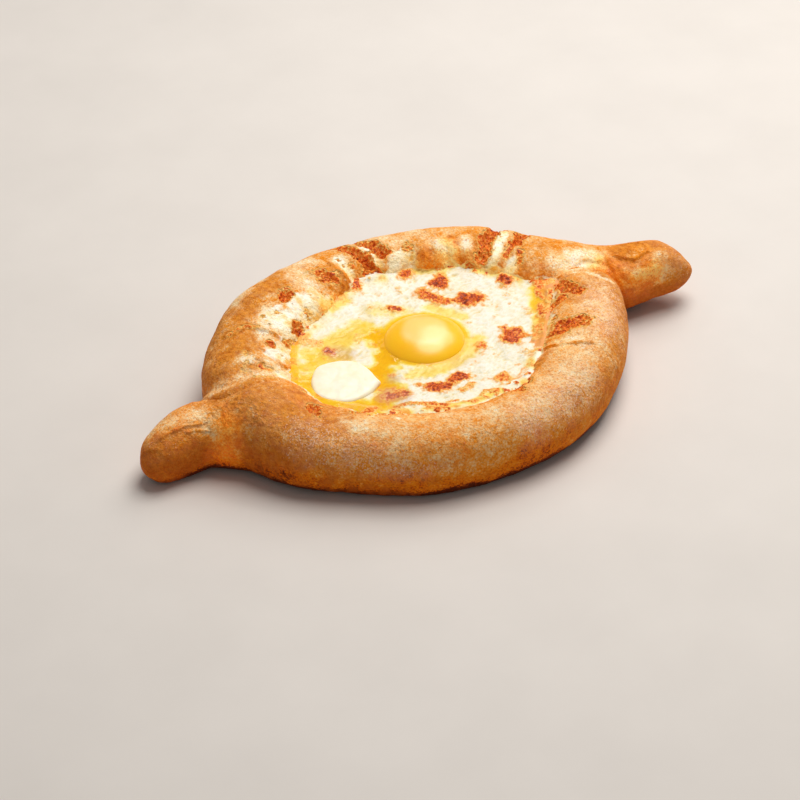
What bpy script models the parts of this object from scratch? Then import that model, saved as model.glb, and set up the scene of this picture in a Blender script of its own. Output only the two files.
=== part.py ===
"""A boat-shaped cheese bread: two rolls of dough that curl round a well of molten cheese.

Each roll starts as a tapered handle, swings round one long side of the boat and ends tucked
against the neck of the other roll's handle, so the pair reads like two commas. A thin floor of
dough closes the boat below. The cheese fills the well, a whole egg yolk sits half sunk in the
middle of it, and a pat of butter lies on one side.

Metres, +Z up, +X from handle to handle. The origin is under the middle of the bread, on the
surface that it rests on. Angles run anticlockwise seen from above: 0 is +X, 90 is the far side,
180 the left handle and 270 the near side.
"""

import math

import bmesh
import bpy
import numpy as np
from mathutils import Vector

# ---- driving dimensions -------------------------------------------------------------------
MM = 0.001

# Each roll is set out by stations along its crest, in millimetres: where the crest is seen from
# above, how far the dough reaches inside and outside the curve, and how high its underside and
# its crest are above the table. The rolls run anticlockwise from the tip of the handle. The
# places are measured from near the middle of the well, and centred() shifts them at the end.
#     x      y   inside  outside  foot  crest
NEAR_ROLL = (
    (-150.0, 6.5, 9.0, 6.0, 5.5, 20.0),  # left handle, near its tip
    (-130.5, 13.0, 12.5, 12.5, 1.5, 28.5),
    (-113.5, 12.5, 17.5, 15.5, 1.5, 30.0),  # neck
    (-94.0, 0.0, 25.5, 19.5, 0.0, 39.0),  # lies over the far roll's end
    (-77.0, -26.5, 23.0, 19.5, 0.0, 33.0),
    (-34.0, -60.0, 19.0, 15.5, 0.0, 33.0),
    (16.5, -65.0, 18.5, 16.5, 0.0, 34.0),  # near side
    (54.0, -48.0, 22.0, 18.5, 0.0, 37.5),
    (86.0, -11.5, 22.5, 19.0, 0.0, 37.5),
    (94.0, 15.0, 20.0, 14.0, 0.0, 35.5),  # rounded end against the other neck
)
FAR_ROLL = (
    (154.0, -7.0, 6.0, 7.0, 12.5, 23.5),  # right handle, near its tip
    (137.0, -2.5, 9.5, 16.5, 9.0, 33.0),
    (111.5, 10.0, 19.5, 17.0, 3.5, 32.5),  # neck
    (88.0, 26.5, 25.5, 18.5, 0.0, 37.0),
    (53.0, 59.0, 17.5, 18.0, 0.0, 38.5),
    (1.5, 73.0, 15.5, 19.5, 0.0, 37.5),  # far side
    (-48.5, 63.5, 26.0, 20.5, 0.0, 41.0),
    (-78.0, 40.5, 26.0, 20.0, 0.0, 38.5),
    (-91.5, 13.5, 27.0, 19.0, 0.0, 36.0),
    (-96.0, -4.5, 16.0, 9.0, 0.0, 27.0),  # tucked under the near roll
)
NEAR_ENDS = (0.0100, 0.0210)  # lengths of the rounded handle tip and of the rounded inner end
FAR_ENDS = (0.0100, 0.0160)
NEAR_PLEAT = 0.0  # depth of the folds on a roll's inner slope, where the dough was pulled over
FAR_PLEAT = 0.0012
PLEAT_PITCH = 0.026  # from fold to fold along the roll
ROLL_FULLNESS = 2.25  # of a roll's cross-section: 2 is an ellipse, more is squarer
FOOT_SINK = 0.0030  # how much of a roll's round underside is pressed flat by the oven's floor

FLOOR_THICKNESS = 0.0070
FLOOR_INSET = 0.0020  # the floor's edge, inside the rolls' crest line
FILL_INSET = 0.0040  # the cheese's outline before the rolls are cut from it
FILL_LEVEL = 0.0262  # top of the cheese above the table
FILL_SWELL = 0.0012  # how far the cheese stands up towards its edge
FILL_RIPPLE = 0.0003

YOLK_RADIUS = 0.0197
YOLK_RISE = 0.0078  # yolk above the cheese
YOLK_SUNK = 0.0085  # yolk below the cheese
YOLK_PLACE = (0.0005, 0.0045)

BUTTER_RADIUS = 0.0148
BUTTER_POINT = 0.0205  # from the pat's middle to its corner
BUTTER_CORNER = 0.42  # how far round the pat the corner reaches, in radians
BUTTER_THICKNESS = 0.0038
BUTTER_PLACE = (-0.0525, -0.0045)
BUTTER_TURN = math.radians(-33)  # direction of the pat's corner

GAP = 0.0003  # clearance between touching pieces

# ---- resolution ---------------------------------------------------------------------------
AROUND = 26  # points round a roll
STEP = 0.0060  # spacing of the sections along a roll
END_SECTIONS = 6  # sections in each rounded end
WELL_SPOKES = 56
WELL_RINGS = 9
BUTTER_POINTS = 28


# ---- the rolls ----------------------------------------------------------------------------
def ease(x):
    """0 to 1 with level ends."""
    x = min(1.0, max(0.0, x))
    return x * x * (3 - 2 * x)


def smooth_route(stations, pieces=12):
    """The stations joined by a smooth curve that runs through each of them, in metres."""
    given = np.array(stations) * MM
    before = 2 * given[0] - given[1]
    after = 2 * given[-1] - given[-2]
    held = np.vstack([before, given, after])
    found = []
    for i in range(1, len(held) - 2):
        a, b, c, d = held[i - 1 : i + 3]
        for t in np.arange(pieces) / pieces:
            linear = (c - a) * t
            square = (2 * a - 5 * b + 4 * c - d) * t**2
            cube = (3 * b - a - 3 * c + d) * t**3
            found.append(b + (linear + square + cube) / 2)
    found.append(given[-1])
    return np.array(found)


def rounding(distance, length):
    """How full a roll is at a distance from its end: 0 at the end, 1 past its rounded length."""
    x = min(1.0, max(0.0, distance / length))
    return math.sqrt(1 - (1 - x) ** 2)


def section_distances(total, ends):
    """Distances of the sections from the handle's tip, closer together in the rounded ends."""
    turns = [1 - math.cos(math.pi / 2 * k / (END_SECTIONS - 1)) for k in range(END_SECTIONS)]
    tip = [ends[0] * turn for turn in turns]
    tuck = [total - ends[1] * turn for turn in reversed(turns)]
    count = int((tuck[0] - tip[-1]) / STEP)
    between = [tip[-1] + (tuck[0] - tip[-1]) * k / count for k in range(1, count)]
    return tip + between + tuck


def pleat(share_along, distance):
    """Folds of the inner slope, -1 to 1, fading out towards both ends of the roll."""
    fade = ease((share_along - 0.28) / 0.12) * ease((0.90 - share_along) / 0.10)
    wander = 1.3 * math.sin(distance / (1.7 * PLEAT_PITCH))
    unevenness = 0.7 + 0.3 * math.sin(distance / (0.9 * PLEAT_PITCH) + 1)
    return fade * unevenness * math.sin(2 * math.pi * distance / PLEAT_PITCH + wander)


def roll_sections(stations, ends, fold_depth):
    """Cross-sections at even steps along a roll: place, heading, reaches, foot, crest, fullness."""
    route = smooth_route(stations)
    strides = np.linalg.norm(np.diff(route[:, :2], axis=0), axis=1)
    along = np.concatenate([[0.0], np.cumsum(strides)])
    total = along[-1]
    made = []
    for distance in section_distances(total, ends):
        here = [np.interp(distance, along, column) for column in route.T]
        x, y, inside, outside, foot, crest = here
        nearby = distance + np.array([-0.5, 0.5]) * MM
        dx, dy = (np.diff(np.interp(nearby, along, column))[0] for column in route.T[:2])
        heading = Vector((dx, dy, 0)).normalized()
        full = rounding(distance, ends[0]) * rounding(total - distance, ends[1])
        inside += fold_depth * pleat(distance / total, distance)
        made.append((Vector((x, y, 0)), heading, inside, outside, foot, crest, full))
    return made


def squarer(value):
    """A cosine or sine turned into the squarer curve of risen dough."""
    return math.copysign(abs(value) ** (2 / ROLL_FULLNESS), value)


def roll_mesh(name, stations, ends, fold_depth, grow=0.0):
    """The closed skin of one roll. Its underside dips below the table, to be cut level later."""
    made = bmesh.new()
    sections = roll_sections(stations, ends, fold_depth)
    rings = []
    for place, heading, inside, outside, foot, crest, full in sections[1:-1]:
        inwards = Vector((-heading.y, heading.x, 0))
        sunk = foot - FOOT_SINK
        middle = (crest + sunk) / 2
        half_height = (crest - sunk) / 2 * full + grow
        ring = []
        for k in range(AROUND):
            t = 2 * math.pi * k / AROUND
            reach = inside if math.cos(t) > 0 else outside
            across = inwards * ((reach * full + grow) * squarer(math.cos(t)))
            height = Vector((0, 0, middle + half_height * squarer(math.sin(t))))
            ring.append(made.verts.new(place + across + height))
        rings.append(ring)
    for near, far in zip(rings, rings[1:]):
        for k in range(AROUND):
            after = (k + 1) % AROUND
            made.faces.new((near[k], far[k], far[after]))
            made.faces.new((near[k], far[after], near[after]))
    for ring, section, way in ((rings[0], sections[0], -1), (rings[-1], sections[-1], 1)):
        place, heading, _, _, foot, crest, _ = section
        middle = Vector((0, 0, (crest + foot - FOOT_SINK) / 2))
        pole = made.verts.new(place + heading * (way * grow) + middle)
        for k in range(AROUND):
            made.faces.new((ring[k], ring[(k + 1) % AROUND], pole))
    return finished(name, made)


# ---- meshes and Booleans ------------------------------------------------------------------
def finished(name, made):
    """A scene object from a bmesh, facing outwards and shaded smooth."""
    bmesh.ops.recalc_face_normals(made, faces=made.faces)
    mesh = bpy.data.meshes.new(name)
    made.to_mesh(mesh)
    made.free()
    mesh.shade_smooth()
    item = bpy.data.objects.new(name, mesh)
    bpy.context.scene.collection.objects.link(item)
    return item


def helper(item):
    """Marks an object as a cutter or a filler that isn't a piece of its own."""
    item.hide_render = True
    item.display_type = "WIRE"
    return item


def combine(item, operation, other):
    """A Boolean on item, kept as a modifier."""
    modifier = item.modifiers.new(f"{operation.lower()} {other.name}", "BOOLEAN")
    modifier.operation = operation
    modifier.solver = "EXACT"
    modifier.object = other


def without_offcuts(item):
    """Applies item's Booleans and drops the specks they leave where two surfaces graze."""
    bpy.context.view_layer.update()
    solid = item.evaluated_get(bpy.context.evaluated_depsgraph_get())
    mesh = bpy.data.meshes.new_from_object(solid)
    made = bmesh.new()
    made.from_mesh(mesh)
    waiting = set(made.faces)
    bodies = []
    while waiting:
        body, edge_of_body = set(), [waiting.pop()]
        while edge_of_body:
            face = edge_of_body.pop()
            body.add(face)
            joints = [joint for joint in face.edges if len(joint.link_faces) == 2]
            beside = {other for joint in joints for other in joint.link_faces} & waiting
            waiting -= beside
            edge_of_body.extend(beside)
        bodies.append(body)
    bodies.sort(key=len)
    specks = [face for body in bodies[:-1] for face in body]
    bmesh.ops.delete(made, geom=specks, context="FACES")
    made.to_mesh(mesh)
    made.free()
    item.modifiers.clear()
    item.data = mesh


def slab(name, outline, bottom, top):
    """A closed plate between two heights, from a list of points seen from above."""
    made = bmesh.new()
    face = made.faces.new([made.verts.new((x, y, bottom)) for x, y in outline])
    for part in bmesh.ops.extrude_face_region(made, geom=[face])["geom"]:
        if isinstance(part, bmesh.types.BMVert):
            part.co.z = top
    return finished(name, made)


# ---- the well and the cheese --------------------------------------------------------------
def crest_line():
    """Angles round the well, in degrees, and how far out the rolls' crests are at each."""
    angles, radii = [], []
    for stations, first, last in ((FAR_ROLL, 18, 178), (NEAR_ROLL, 178, 368)):
        for x, y in smooth_route(stations)[:, :2]:
            angle = math.degrees(math.atan2(y, x)) % 360
            angle += 360 if angle + 360 < last else 0
            if first <= angle < last and math.hypot(x, y) < 0.1:
                angles.append(angle % 360)
                radii.append(math.hypot(x, y))
    return angles, radii


CREST_LINE = crest_line()


def well_radius(angle):
    """Distance of the rolls' crests from the middle of the bread, at an angle in degrees."""
    return float(np.interp(angle, *CREST_LINE, period=360))


def well_outline(inset):
    """The line of the crests, or a line inside it, seen from above."""
    points = []
    for k in range(WELL_SPOKES):
        angle = 360 * k / WELL_SPOKES
        a, r = math.radians(angle), well_radius(angle) - inset
        points.append((r * math.cos(a), r * math.sin(a)))
    return points


def fill_height(x, y):
    """The cheese's surface: level in the middle, standing up a little towards the crust."""
    share = math.hypot(x, y) / well_radius(math.degrees(math.atan2(y, x)))
    swell = FILL_SWELL * ease((share - 0.35) / 0.45)
    ripple = FILL_RIPPLE * math.sin(x * 190 + 1.1) * math.cos(y * 230 - 0.4)
    return FILL_LEVEL + swell + ripple * ease(share / 0.5)


def pool_mesh(name):
    """The cheese before the rolls and the yolk are cut from it: a disc with an uneven top."""
    made = bmesh.new()
    bottom = FLOOR_THICKNESS + GAP
    crown = made.verts.new((0, 0, fill_height(0, 0)))
    base = made.verts.new((0, 0, bottom))
    edge = well_outline(FILL_INSET)
    rings = []
    for step in range(1, WELL_RINGS + 1):
        share = step / WELL_RINGS
        places = [(x * share, y * share) for x, y in edge]
        rings.append([made.verts.new((x, y, fill_height(x, y))) for x, y in places])
    rings.append([made.verts.new((x, y, bottom)) for x, y in edge])
    for k in range(WELL_SPOKES):
        after = (k + 1) % WELL_SPOKES
        made.faces.new((crown, rings[0][k], rings[0][after]))
        made.faces.new((base, rings[-1][after], rings[-1][k]))
        for near, far in zip(rings, rings[1:]):
            made.faces.new((near[k], far[k], far[after], near[after]))
    return finished(name, made)


# ---- what lies on the cheese --------------------------------------------------------------
def yolk_mesh(name, grow=0.0):
    """A yolk: round seen from above, a low dome above the cheese and a bowl below it."""
    made = bmesh.new()
    bmesh.ops.create_uvsphere(made, u_segments=32, v_segments=16, radius=1.0)
    level = fill_height(*YOLK_PLACE)
    for vertex in made.verts:
        depth = YOLK_RISE if vertex.co.z > 0 else YOLK_SUNK
        vertex.co.x = YOLK_PLACE[0] + vertex.co.x * (YOLK_RADIUS + grow)
        vertex.co.y = YOLK_PLACE[1] + vertex.co.y * (YOLK_RADIUS + grow)
        vertex.co.z = level + vertex.co.z * (depth + grow)
    return finished(name, made)


def butter_outline():
    """A round pat drawn out to one corner."""
    points = []
    for k in range(BUTTER_POINTS):
        t = 2 * math.pi * k / BUTTER_POINTS
        from_corner = min(t, 2 * math.pi - t)
        corner = (BUTTER_POINT - BUTTER_RADIUS) * math.exp(-from_corner / BUTTER_CORNER)
        reach = BUTTER_RADIUS + corner
        x = BUTTER_PLACE[0] + reach * math.cos(t + BUTTER_TURN)
        y = BUTTER_PLACE[1] + reach * math.sin(t + BUTTER_TURN)
        points.append((x, y))
    return points


def butter_mesh(name):
    """The pat of butter, soft at its edges, just clear of the cheese under it."""
    outline = butter_outline()
    level = max(fill_height(x, y) for x, y in [*outline, BUTTER_PLACE]) + GAP
    pat = slab(name, outline, level, level + BUTTER_THICKNESS)
    soft = pat.modifiers.new("soft edge", "BEVEL")
    soft.width = BUTTER_THICKNESS * 0.36
    soft.segments = 3
    soft.limit_method = "ANGLE"
    return pat


# ---- the whole bread ----------------------------------------------------------------------
def painted(item, colour, roughness):
    """Gives an object its own plain material."""
    material = bpy.data.materials.new(item.name)
    material.use_nodes = True
    shader = material.node_tree.nodes["Principled BSDF"]
    shader.inputs["Base Color"].default_value = (*colour, 1)
    shader.inputs["Roughness"].default_value = roughness
    item.data.materials.append(material)


def centred(item):
    """Moves everything so that the middle of item's box is over the origin."""
    bpy.context.view_layer.update()
    solid = item.evaluated_get(bpy.context.evaluated_depsgraph_get())
    corners = np.array([solid.matrix_world @ Vector(corner) for corner in solid.bound_box])
    middle = (corners.min(axis=0) + corners.max(axis=0)) / 2
    for other in bpy.data.objects:
        other.location.x -= middle[0]
        other.location.y -= middle[1]
    print(f"the middle was at {middle[0] * 1000:.2f}, {middle[1] * 1000:.2f} mm")


def build():
    for item in list(bpy.data.objects):
        bpy.data.objects.remove(item, do_unlink=True)

    near = (NEAR_ROLL, NEAR_ENDS, NEAR_PLEAT)
    far = (FAR_ROLL, FAR_ENDS, FAR_PLEAT)
    crust = roll_mesh("crust", *near)
    combine(crust, "UNION", helper(roll_mesh("far roll", *far)))
    floor = slab("floor", well_outline(FLOOR_INSET), -FOOT_SINK - GAP, FLOOR_THICKNESS)
    combine(crust, "UNION", helper(floor))
    square = [(-0.2, -0.2), (0.2, -0.2), (0.2, 0.2), (-0.2, 0.2)]
    combine(crust, "DIFFERENCE", helper(slab("table", square, -0.05, 0.0)))
    painted(crust, (0.68, 0.36, 0.13), 0.62)

    cheese = pool_mesh("cheese")
    combine(cheese, "DIFFERENCE", helper(roll_mesh("near roll room", *near, grow=GAP)))
    combine(cheese, "DIFFERENCE", helper(roll_mesh("far roll room", *far, grow=GAP)))
    combine(cheese, "DIFFERENCE", helper(yolk_mesh("yolk room", grow=GAP)))
    without_offcuts(cheese)
    painted(cheese, (0.93, 0.86, 0.62), 0.38)

    painted(yolk_mesh("yolk"), (0.95, 0.55, 0.04), 0.12)
    painted(butter_mesh("butter"), (0.96, 0.90, 0.68), 0.40)
    centred(crust)


build()
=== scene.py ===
# %% [markdown]
# # Khachapuri
#
# A khachapuri from Adjara is a boat of bread dough baked round a pool of melted cheese, with an egg
# yolk and butter put on while it is hot. The construction script holds its four solids: crust,
# cheese, yolk and butter. This script gives them their looks. It starts by loading those solids.
# The yolk's solid says where the middle of the well lies, and the rolls are fitted to the crust's
# box.

import itertools
import math

import bmesh
import bpy
import numpy as np
from mathutils import Euler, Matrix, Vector


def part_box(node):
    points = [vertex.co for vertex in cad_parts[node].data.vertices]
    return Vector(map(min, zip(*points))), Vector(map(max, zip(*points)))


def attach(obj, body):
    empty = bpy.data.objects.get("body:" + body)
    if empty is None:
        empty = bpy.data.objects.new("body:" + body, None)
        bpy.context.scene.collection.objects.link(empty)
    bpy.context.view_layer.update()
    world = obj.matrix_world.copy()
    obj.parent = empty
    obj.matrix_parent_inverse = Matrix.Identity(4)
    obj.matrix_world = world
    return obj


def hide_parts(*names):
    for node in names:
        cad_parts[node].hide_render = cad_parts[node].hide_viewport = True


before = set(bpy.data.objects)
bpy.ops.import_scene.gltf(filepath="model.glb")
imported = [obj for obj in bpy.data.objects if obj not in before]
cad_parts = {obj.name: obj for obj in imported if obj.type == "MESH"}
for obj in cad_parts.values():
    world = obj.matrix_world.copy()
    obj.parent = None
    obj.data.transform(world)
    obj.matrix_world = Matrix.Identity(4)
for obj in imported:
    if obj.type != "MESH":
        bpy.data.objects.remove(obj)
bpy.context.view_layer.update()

# %% [markdown]
# ## Camera and light
#
# The bread is seen from 38 degrees above the table and 33 degrees to the left of its front, through
# a long lens so that the far handle isn't much smaller than the near one. Two wide soft lamps, one
# nearly overhead and one lower down behind the bread, make the tops pale and leave the near side
# deep orange, as food is usually lit. A tiny third lamp adds glints to what is wet, and weak even
# light from all round keeps the near side from going black.

# %% Camera and light
MM = 0.001
LOOK_AT = Vector((-18.2, -5.3, 0)) * MM
CAMERA_DISTANCE = 1.2
CAMERA_ELEVATION = math.radians(38)
CAMERA_TURN = math.radians(-33)


def direction(turn, elevation):
    """The way to something seen at a turn from the front and an elevation."""
    flat = math.cos(elevation)
    return Vector((math.sin(turn) * flat, -math.cos(turn) * flat, math.sin(elevation)))


def aimed(item, place, target):
    """Puts a camera or a lamp somewhere, facing a target."""
    item.location = place
    item.rotation_euler = (target - place).to_track_quat("-Z", "Y").to_euler()
    bpy.context.scene.collection.objects.link(item)


lens = bpy.data.cameras.new("camera")
lens.lens = 112.3
lens.sensor_width = 36
camera = bpy.data.objects.new("camera", lens)
aimed(camera, LOOK_AT + direction(CAMERA_TURN, CAMERA_ELEVATION) * CAMERA_DISTANCE, LOOK_AT)
bpy.context.scene.camera = camera


def lamp(name, turn, elevation, distance, size, watts, colour=(1, 1, 1)):
    """A round lamp, turned and raised in degrees, facing the bread."""
    made = bpy.data.lights.new(name, "AREA")
    made.shape = "DISK"
    made.size = size
    made.energy = watts
    made.color = colour
    place = LOOK_AT + direction(math.radians(turn), math.radians(elevation)) * distance
    aimed(bpy.data.objects.new(name, made), place, LOOK_AT)
    return name


lamps = [
    lamp("overhead", 110, 74, 1.2, 0.8, 9.0, (1.0, 0.985, 0.96)),
    lamp("back softbox", 118, 48, 1.1, 0.72, 4.6, (1.0, 0.98, 0.95)),
    lamp("spark", 173, 50, 1.0, 0.04, 0.15),
]
world = bpy.data.worlds.new("room")
bpy.context.scene.world = world
world.use_nodes = True
world.node_tree.nodes["Background"].inputs["Color"].default_value = (1.0, 0.97, 0.94, 1)
world.node_tree.nodes["Background"].inputs["Strength"].default_value = 0.22
bpy.context.scene.view_settings.view_transform = "Standard"
print("camera", CAMERA_DISTANCE, "m away, lamps:", lamps)

# %% [markdown]
# ## Small tools for materials
#
# Colours are easier to choose from a paint chart, whose numbers run from 0 to 255, than in the
# linear light that Blender mixes, so one function turns the first into the second. The others put a
# node in a material with its inputs filled or linked, which keeps each material short to read.


# %% Material tools
def chart(red, green, blue):
    """A paint chart colour in the linear light that materials mix in."""
    found = []
    for part in (red, green, blue):
        part /= 255
        found.append(part / 12.92 if part <= 0.04045 else ((part + 0.055) / 1.055) ** 2.4)
    return (*found, 1)


def fill(tree, node, inputs):
    """Fills a node's inputs with numbers, colours or other nodes' outputs."""
    for name, value in inputs.items():
        if isinstance(value, bpy.types.NodeSocket):
            tree.links.new(value, node.inputs[name])
        else:
            node.inputs[name].default_value = value


def put(tree, kind, inputs=None, **settings):
    """Adds a shader node with its settings made and its inputs filled."""
    made = tree.nodes.new(f"ShaderNode{kind}")
    for name, value in settings.items():
        setattr(made, name, value)
    fill(tree, made, inputs or {})
    return made


def sums(tree, operation, first, second):
    """Two values added, multiplied and so on."""
    return put(tree, "Math", {0: first, 1: second}, operation=operation).outputs[0]


def more(tree, value, mask, amount):
    """A value with so much of a mask added to it."""
    return sums(tree, "ADD", value, sums(tree, "MULTIPLY", mask, amount))


def between(tree, value, low, high, least=0.0, most=1.0):
    """A value's place from low to high, eased at both ends."""
    inputs = {"Value": value, "From Min": low, "From Max": high, "To Min": least, "To Max": most}
    return put(tree, "MapRange", inputs, interpolation_type="SMOOTHSTEP").outputs[0]


def mixed(tree, mask, under, over):
    """The colour under a mask, and another over it."""
    return put(tree, "Mix", {0: mask, 6: under, 7: over}, data_type="RGBA").outputs[2]


def stained(tree, mask, under, over):
    """A colour that another one stains under a mask, as clear butter does."""
    made = put(tree, "Mix", {0: mask, 6: under, 7: over}, data_type="RGBA", blend_type="MULTIPLY")
    return made.outputs[2]


def grain(tree, size, detail=3.0, roughness=0.55, stretch=None):
    """Soft random unevenness of a size in millimetres, 0 to 1."""
    place = put(tree, "TexCoord").outputs["Object"]
    if stretch:
        place = put(tree, "Mapping", {"Vector": place, "Scale": stretch}).outputs[0]
    inputs = {"Vector": place, "Scale": 1 / (size * MM), "Detail": detail, "Roughness": roughness}
    return put(tree, "TexNoise", inputs).outputs["Fac"]


def uneven(tree, size, detail=3.0):
    """Soft random unevenness about -1 to 1."""
    inputs = {"Value": grain(tree, size, detail, 0.6), 1: 0.32, 2: 0.68, 3: -1.0, 4: 1.0}
    return put(tree, "MapRange", inputs, clamp=False).outputs[0]


def painted_on(tree, name):
    """A mask that the mesh carries, one number for each of its points."""
    return put(tree, "Attribute", attribute_name=name).outputs["Fac"]


def ramp(tree, value, stops):
    """Colours along a scale from 0 to 1."""
    made = put(tree, "ValToRGB", {"Fac": value})
    scale = made.color_ramp
    scale.elements[0].position, scale.elements[0].color = stops[0]
    scale.elements[1].position, scale.elements[1].color = stops[-1]
    for place, colour in stops[1:-1]:
        scale.elements.new(place).color = colour
    return made.outputs["Color"]


def material(name):
    """A new material, its node tree and its Principled shader."""
    made = bpy.data.materials.new(name)
    made.use_nodes = True
    return made, made.node_tree, made.node_tree.nodes["Principled BSDF"]


WHITE = chart(255, 255, 255)


def group(name, inputs, outputs):
    """An empty node group with named number and colour sockets."""
    made = bpy.data.node_groups.new(name, "ShaderNodeTree")
    for socket, value in inputs.items():
        kind = "NodeSocketColor" if isinstance(value, tuple) else "NodeSocketFloat"
        made.interface.new_socket(socket, in_out="INPUT", socket_type=kind).default_value = value
    for socket, kind in outputs.items():
        made.interface.new_socket(socket, in_out="OUTPUT", socket_type=f"NodeSocket{kind}")
    return made, made.nodes.new("NodeGroupInput"), made.nodes.new("NodeGroupOutput")


def placed(tree, made, inputs):
    """A node group put in a material with its own values."""
    node = put(tree, "Group", node_tree=made)
    fill(tree, node, inputs)
    return node


print("pale dough in linear light:", [round(part, 3) for part in chart(250, 225, 175)])

# %% [markdown]
# ## Small tools for shapes
#
# Dough and cheese are uneven at every size, from slumps as wide as a thumb to pits like pinpricks.
# The random unevenness here is worked out for a whole mesh at once from the places of its points, so
# it is the same on every run. Places and sizes are in millimetres until the mesh is made.


# %% Shape tools
def ease(x):
    """0 to 1 with level ends."""
    x = np.clip(x, 0, 1)
    return x * x * (3 - 2 * x)


TURNED = np.array(Euler((0.6, 0.9, 0.4)).to_matrix())


def clouds(points, size, seed=0):
    """Smooth unevenness, about -1 to 1, of a size in millimetres, at many points at once."""
    place = points @ TURNED / size + 31.7 * (seed + 1)
    corner = np.floor(place).astype(np.int64)
    share = place - corner
    blend = share**3 * (share * (share * 6 - 15) + 10)
    total = np.zeros(points.shape[:-1])
    for step in itertools.product((0, 1), repeat=3):
        weight = np.prod(np.where(step, blend, 1 - blend), axis=-1)
        x, y, z = np.moveaxis(corner + step, -1, 0)
        mix = (x * 374761393 + y * 668265263 + z * 1274126177 + seed * 974634777) & 0xFFFFFFFF
        mix = ((mix ^ (mix >> 13)) * 1103515245) & 0xFFFFFFFF
        mix = ((mix ^ (mix >> 16)) * 2654435761) & 0xFFFFFFFF
        gap = np.moveaxis(share - step, -1, 0)
        slope = sum(((mix >> shift & 1023) / 511.5 - 1) * g for shift, g in zip((2, 12, 22), gap))
        total += weight * slope
    return 1.7 * total


def rough_clouds(points, size, seed=0):
    """Unevenness of a size, with finer unevenness on it."""
    fine = clouds(points, size / 2.1, seed + 1) * 0.5 + clouds(points, size / 4.3, seed + 2) * 0.25
    return (clouds(points, size, seed) + fine) / 1.4


def mesh_piece(name, points, faces, masks):
    """A smooth piece from points in millimetres, with a value of each mask for every point."""
    made = bpy.data.meshes.new(name)
    made.from_pydata(points * MM, [], faces)
    made.shade_smooth()
    for label, values in masks.items():
        mask = made.attributes.new(label, "FLOAT", "POINT")
        mask.data.foreach_set("value", values.astype(np.float32))
    item = bpy.data.objects.new(name, made)
    bpy.context.scene.collection.objects.link(item)
    return item


def mesh_object(name, grid, masks):
    """A piece from a grid of points, rows by columns, closed round and with both ends capped."""
    rows, columns = grid.shape[:2]
    index = np.arange(rows * columns).reshape(rows, columns)
    after = np.roll(index, -1, axis=1)
    faces = np.stack([index[:-1], index[1:], after[1:], after[:-1]], axis=-1).reshape(-1, 4)
    poles = np.array([grid[0].mean(axis=0), grid[-1].mean(axis=0)])
    caps = []
    for row, pole, turn in ((0, 0, 1), (rows - 1, 1, -1)):
        ends = np.stack([index[row], after[row], np.full(columns, rows * columns + pole)], axis=-1)
        caps.append(ends[:, ::turn])
    held = {}
    for label, values in masks.items():
        held[label] = np.concatenate([values.reshape(-1), [values[0].mean(), values[-1].mean()]])
    everything = np.vstack([grid.reshape(-1, 3), poles])
    return mesh_piece(name, everything, [*faces.tolist(), *np.vstack(caps).tolist()], held)


tried = np.random.default_rng(1).random((1000, 3)) * 90
print("spread of the unevenness over 1000 points:", round(float(clouds(tried, 9).std()), 2))

# %% [markdown]
# ## The two rolls of dough
#
# The baker rolls two long edges of the dough in towards the filling and twists what is left over at
# each end into a handle. Each roll is swept here along its crest, as in the solids, but with
# sections about 0.6 millimetres apart, so that creases, blisters and drips can stand up from the
# mesh itself. Modelling it with a sculpting brush would do as well, but couldn't be repeated.
#
# The stations are those of the construction. They weren't worked out from a few sizes: a search
# program fitted them to traced outlines, they were rounded to half a millimetre, and a few were then
# changed. Take them as data and not as a pattern for setting out a roll.

# %% The rolls' routes
# x and y of the crest, reach inside and outside it, height of the underside and of the crest.
NEAR_ROLL = (
    (-150, 6.5, 9, 6, 5.5, 20),
    (-130.5, 13, 12.5, 12.5, 1.5, 28.5),
    (-113.5, 12.5, 17.5, 15.5, 1.5, 30),
    (-94, 0, 25.5, 19.5, 0, 39),
    (-77, -26.5, 23, 19.5, 0, 33),
    (-34, -60, 19, 15.5, 0, 33),
    (16.5, -65, 18.5, 16.5, 0, 34),
    (54, -48, 22, 18.5, 0, 37.5),
    (86, -11.5, 22.5, 19, 0, 37.5),
    (94, 15, 20, 14, 0, 35.5),
)
FAR_ROLL = (
    (154, -7, 6, 7, 12.5, 23.5),
    (137, -2.5, 9.5, 16.5, 9, 33),
    (111.5, 10, 19.5, 17, 3.5, 32.5),
    (88, 26.5, 25.5, 18.5, 0, 37),
    (53, 59, 17.5, 18, 0, 38.5),
    (1.5, 73, 15.5, 19.5, 0, 37.5),
    (-48.5, 63.5, 26, 20.5, 0, 41),
    (-78, 40.5, 26, 20, 0, 38.5),
    (-91.5, 13.5, 27, 19, 0, 36),
    (-96, -4.5, 16, 9, 0, 27),
)
PLEAT_PITCH = 26
YOLK_PLACE = np.array([0.5, 4.5])
yolk_box = np.array(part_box("yolk")) * 1000
MIDDLE_SHIFT = yolk_box.mean(axis=0)[:2] - YOLK_PLACE


def smooth_route(stations, pieces=48):
    """The stations joined by a smooth curve, a column for each of the six measures."""
    given = np.array(stations, float)
    held = np.vstack([2 * given[0] - given[1], given, 2 * given[-1] - given[-2]])
    t = (np.arange(pieces) / pieces)[:, None]
    found = []
    for a, b, c, d in zip(held, held[1:], held[2:], held[3:]):
        linear = (c - a) * t
        square = (2 * a - 5 * b + 4 * c - d) * t**2
        cube = (3 * b - a - 3 * c + d) * t**3
        found.append(b + (linear + square + cube) / 2)
    route = np.vstack([*found, given[-1:]])
    route[:, :2] += MIDDLE_SHIFT
    return route


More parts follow.
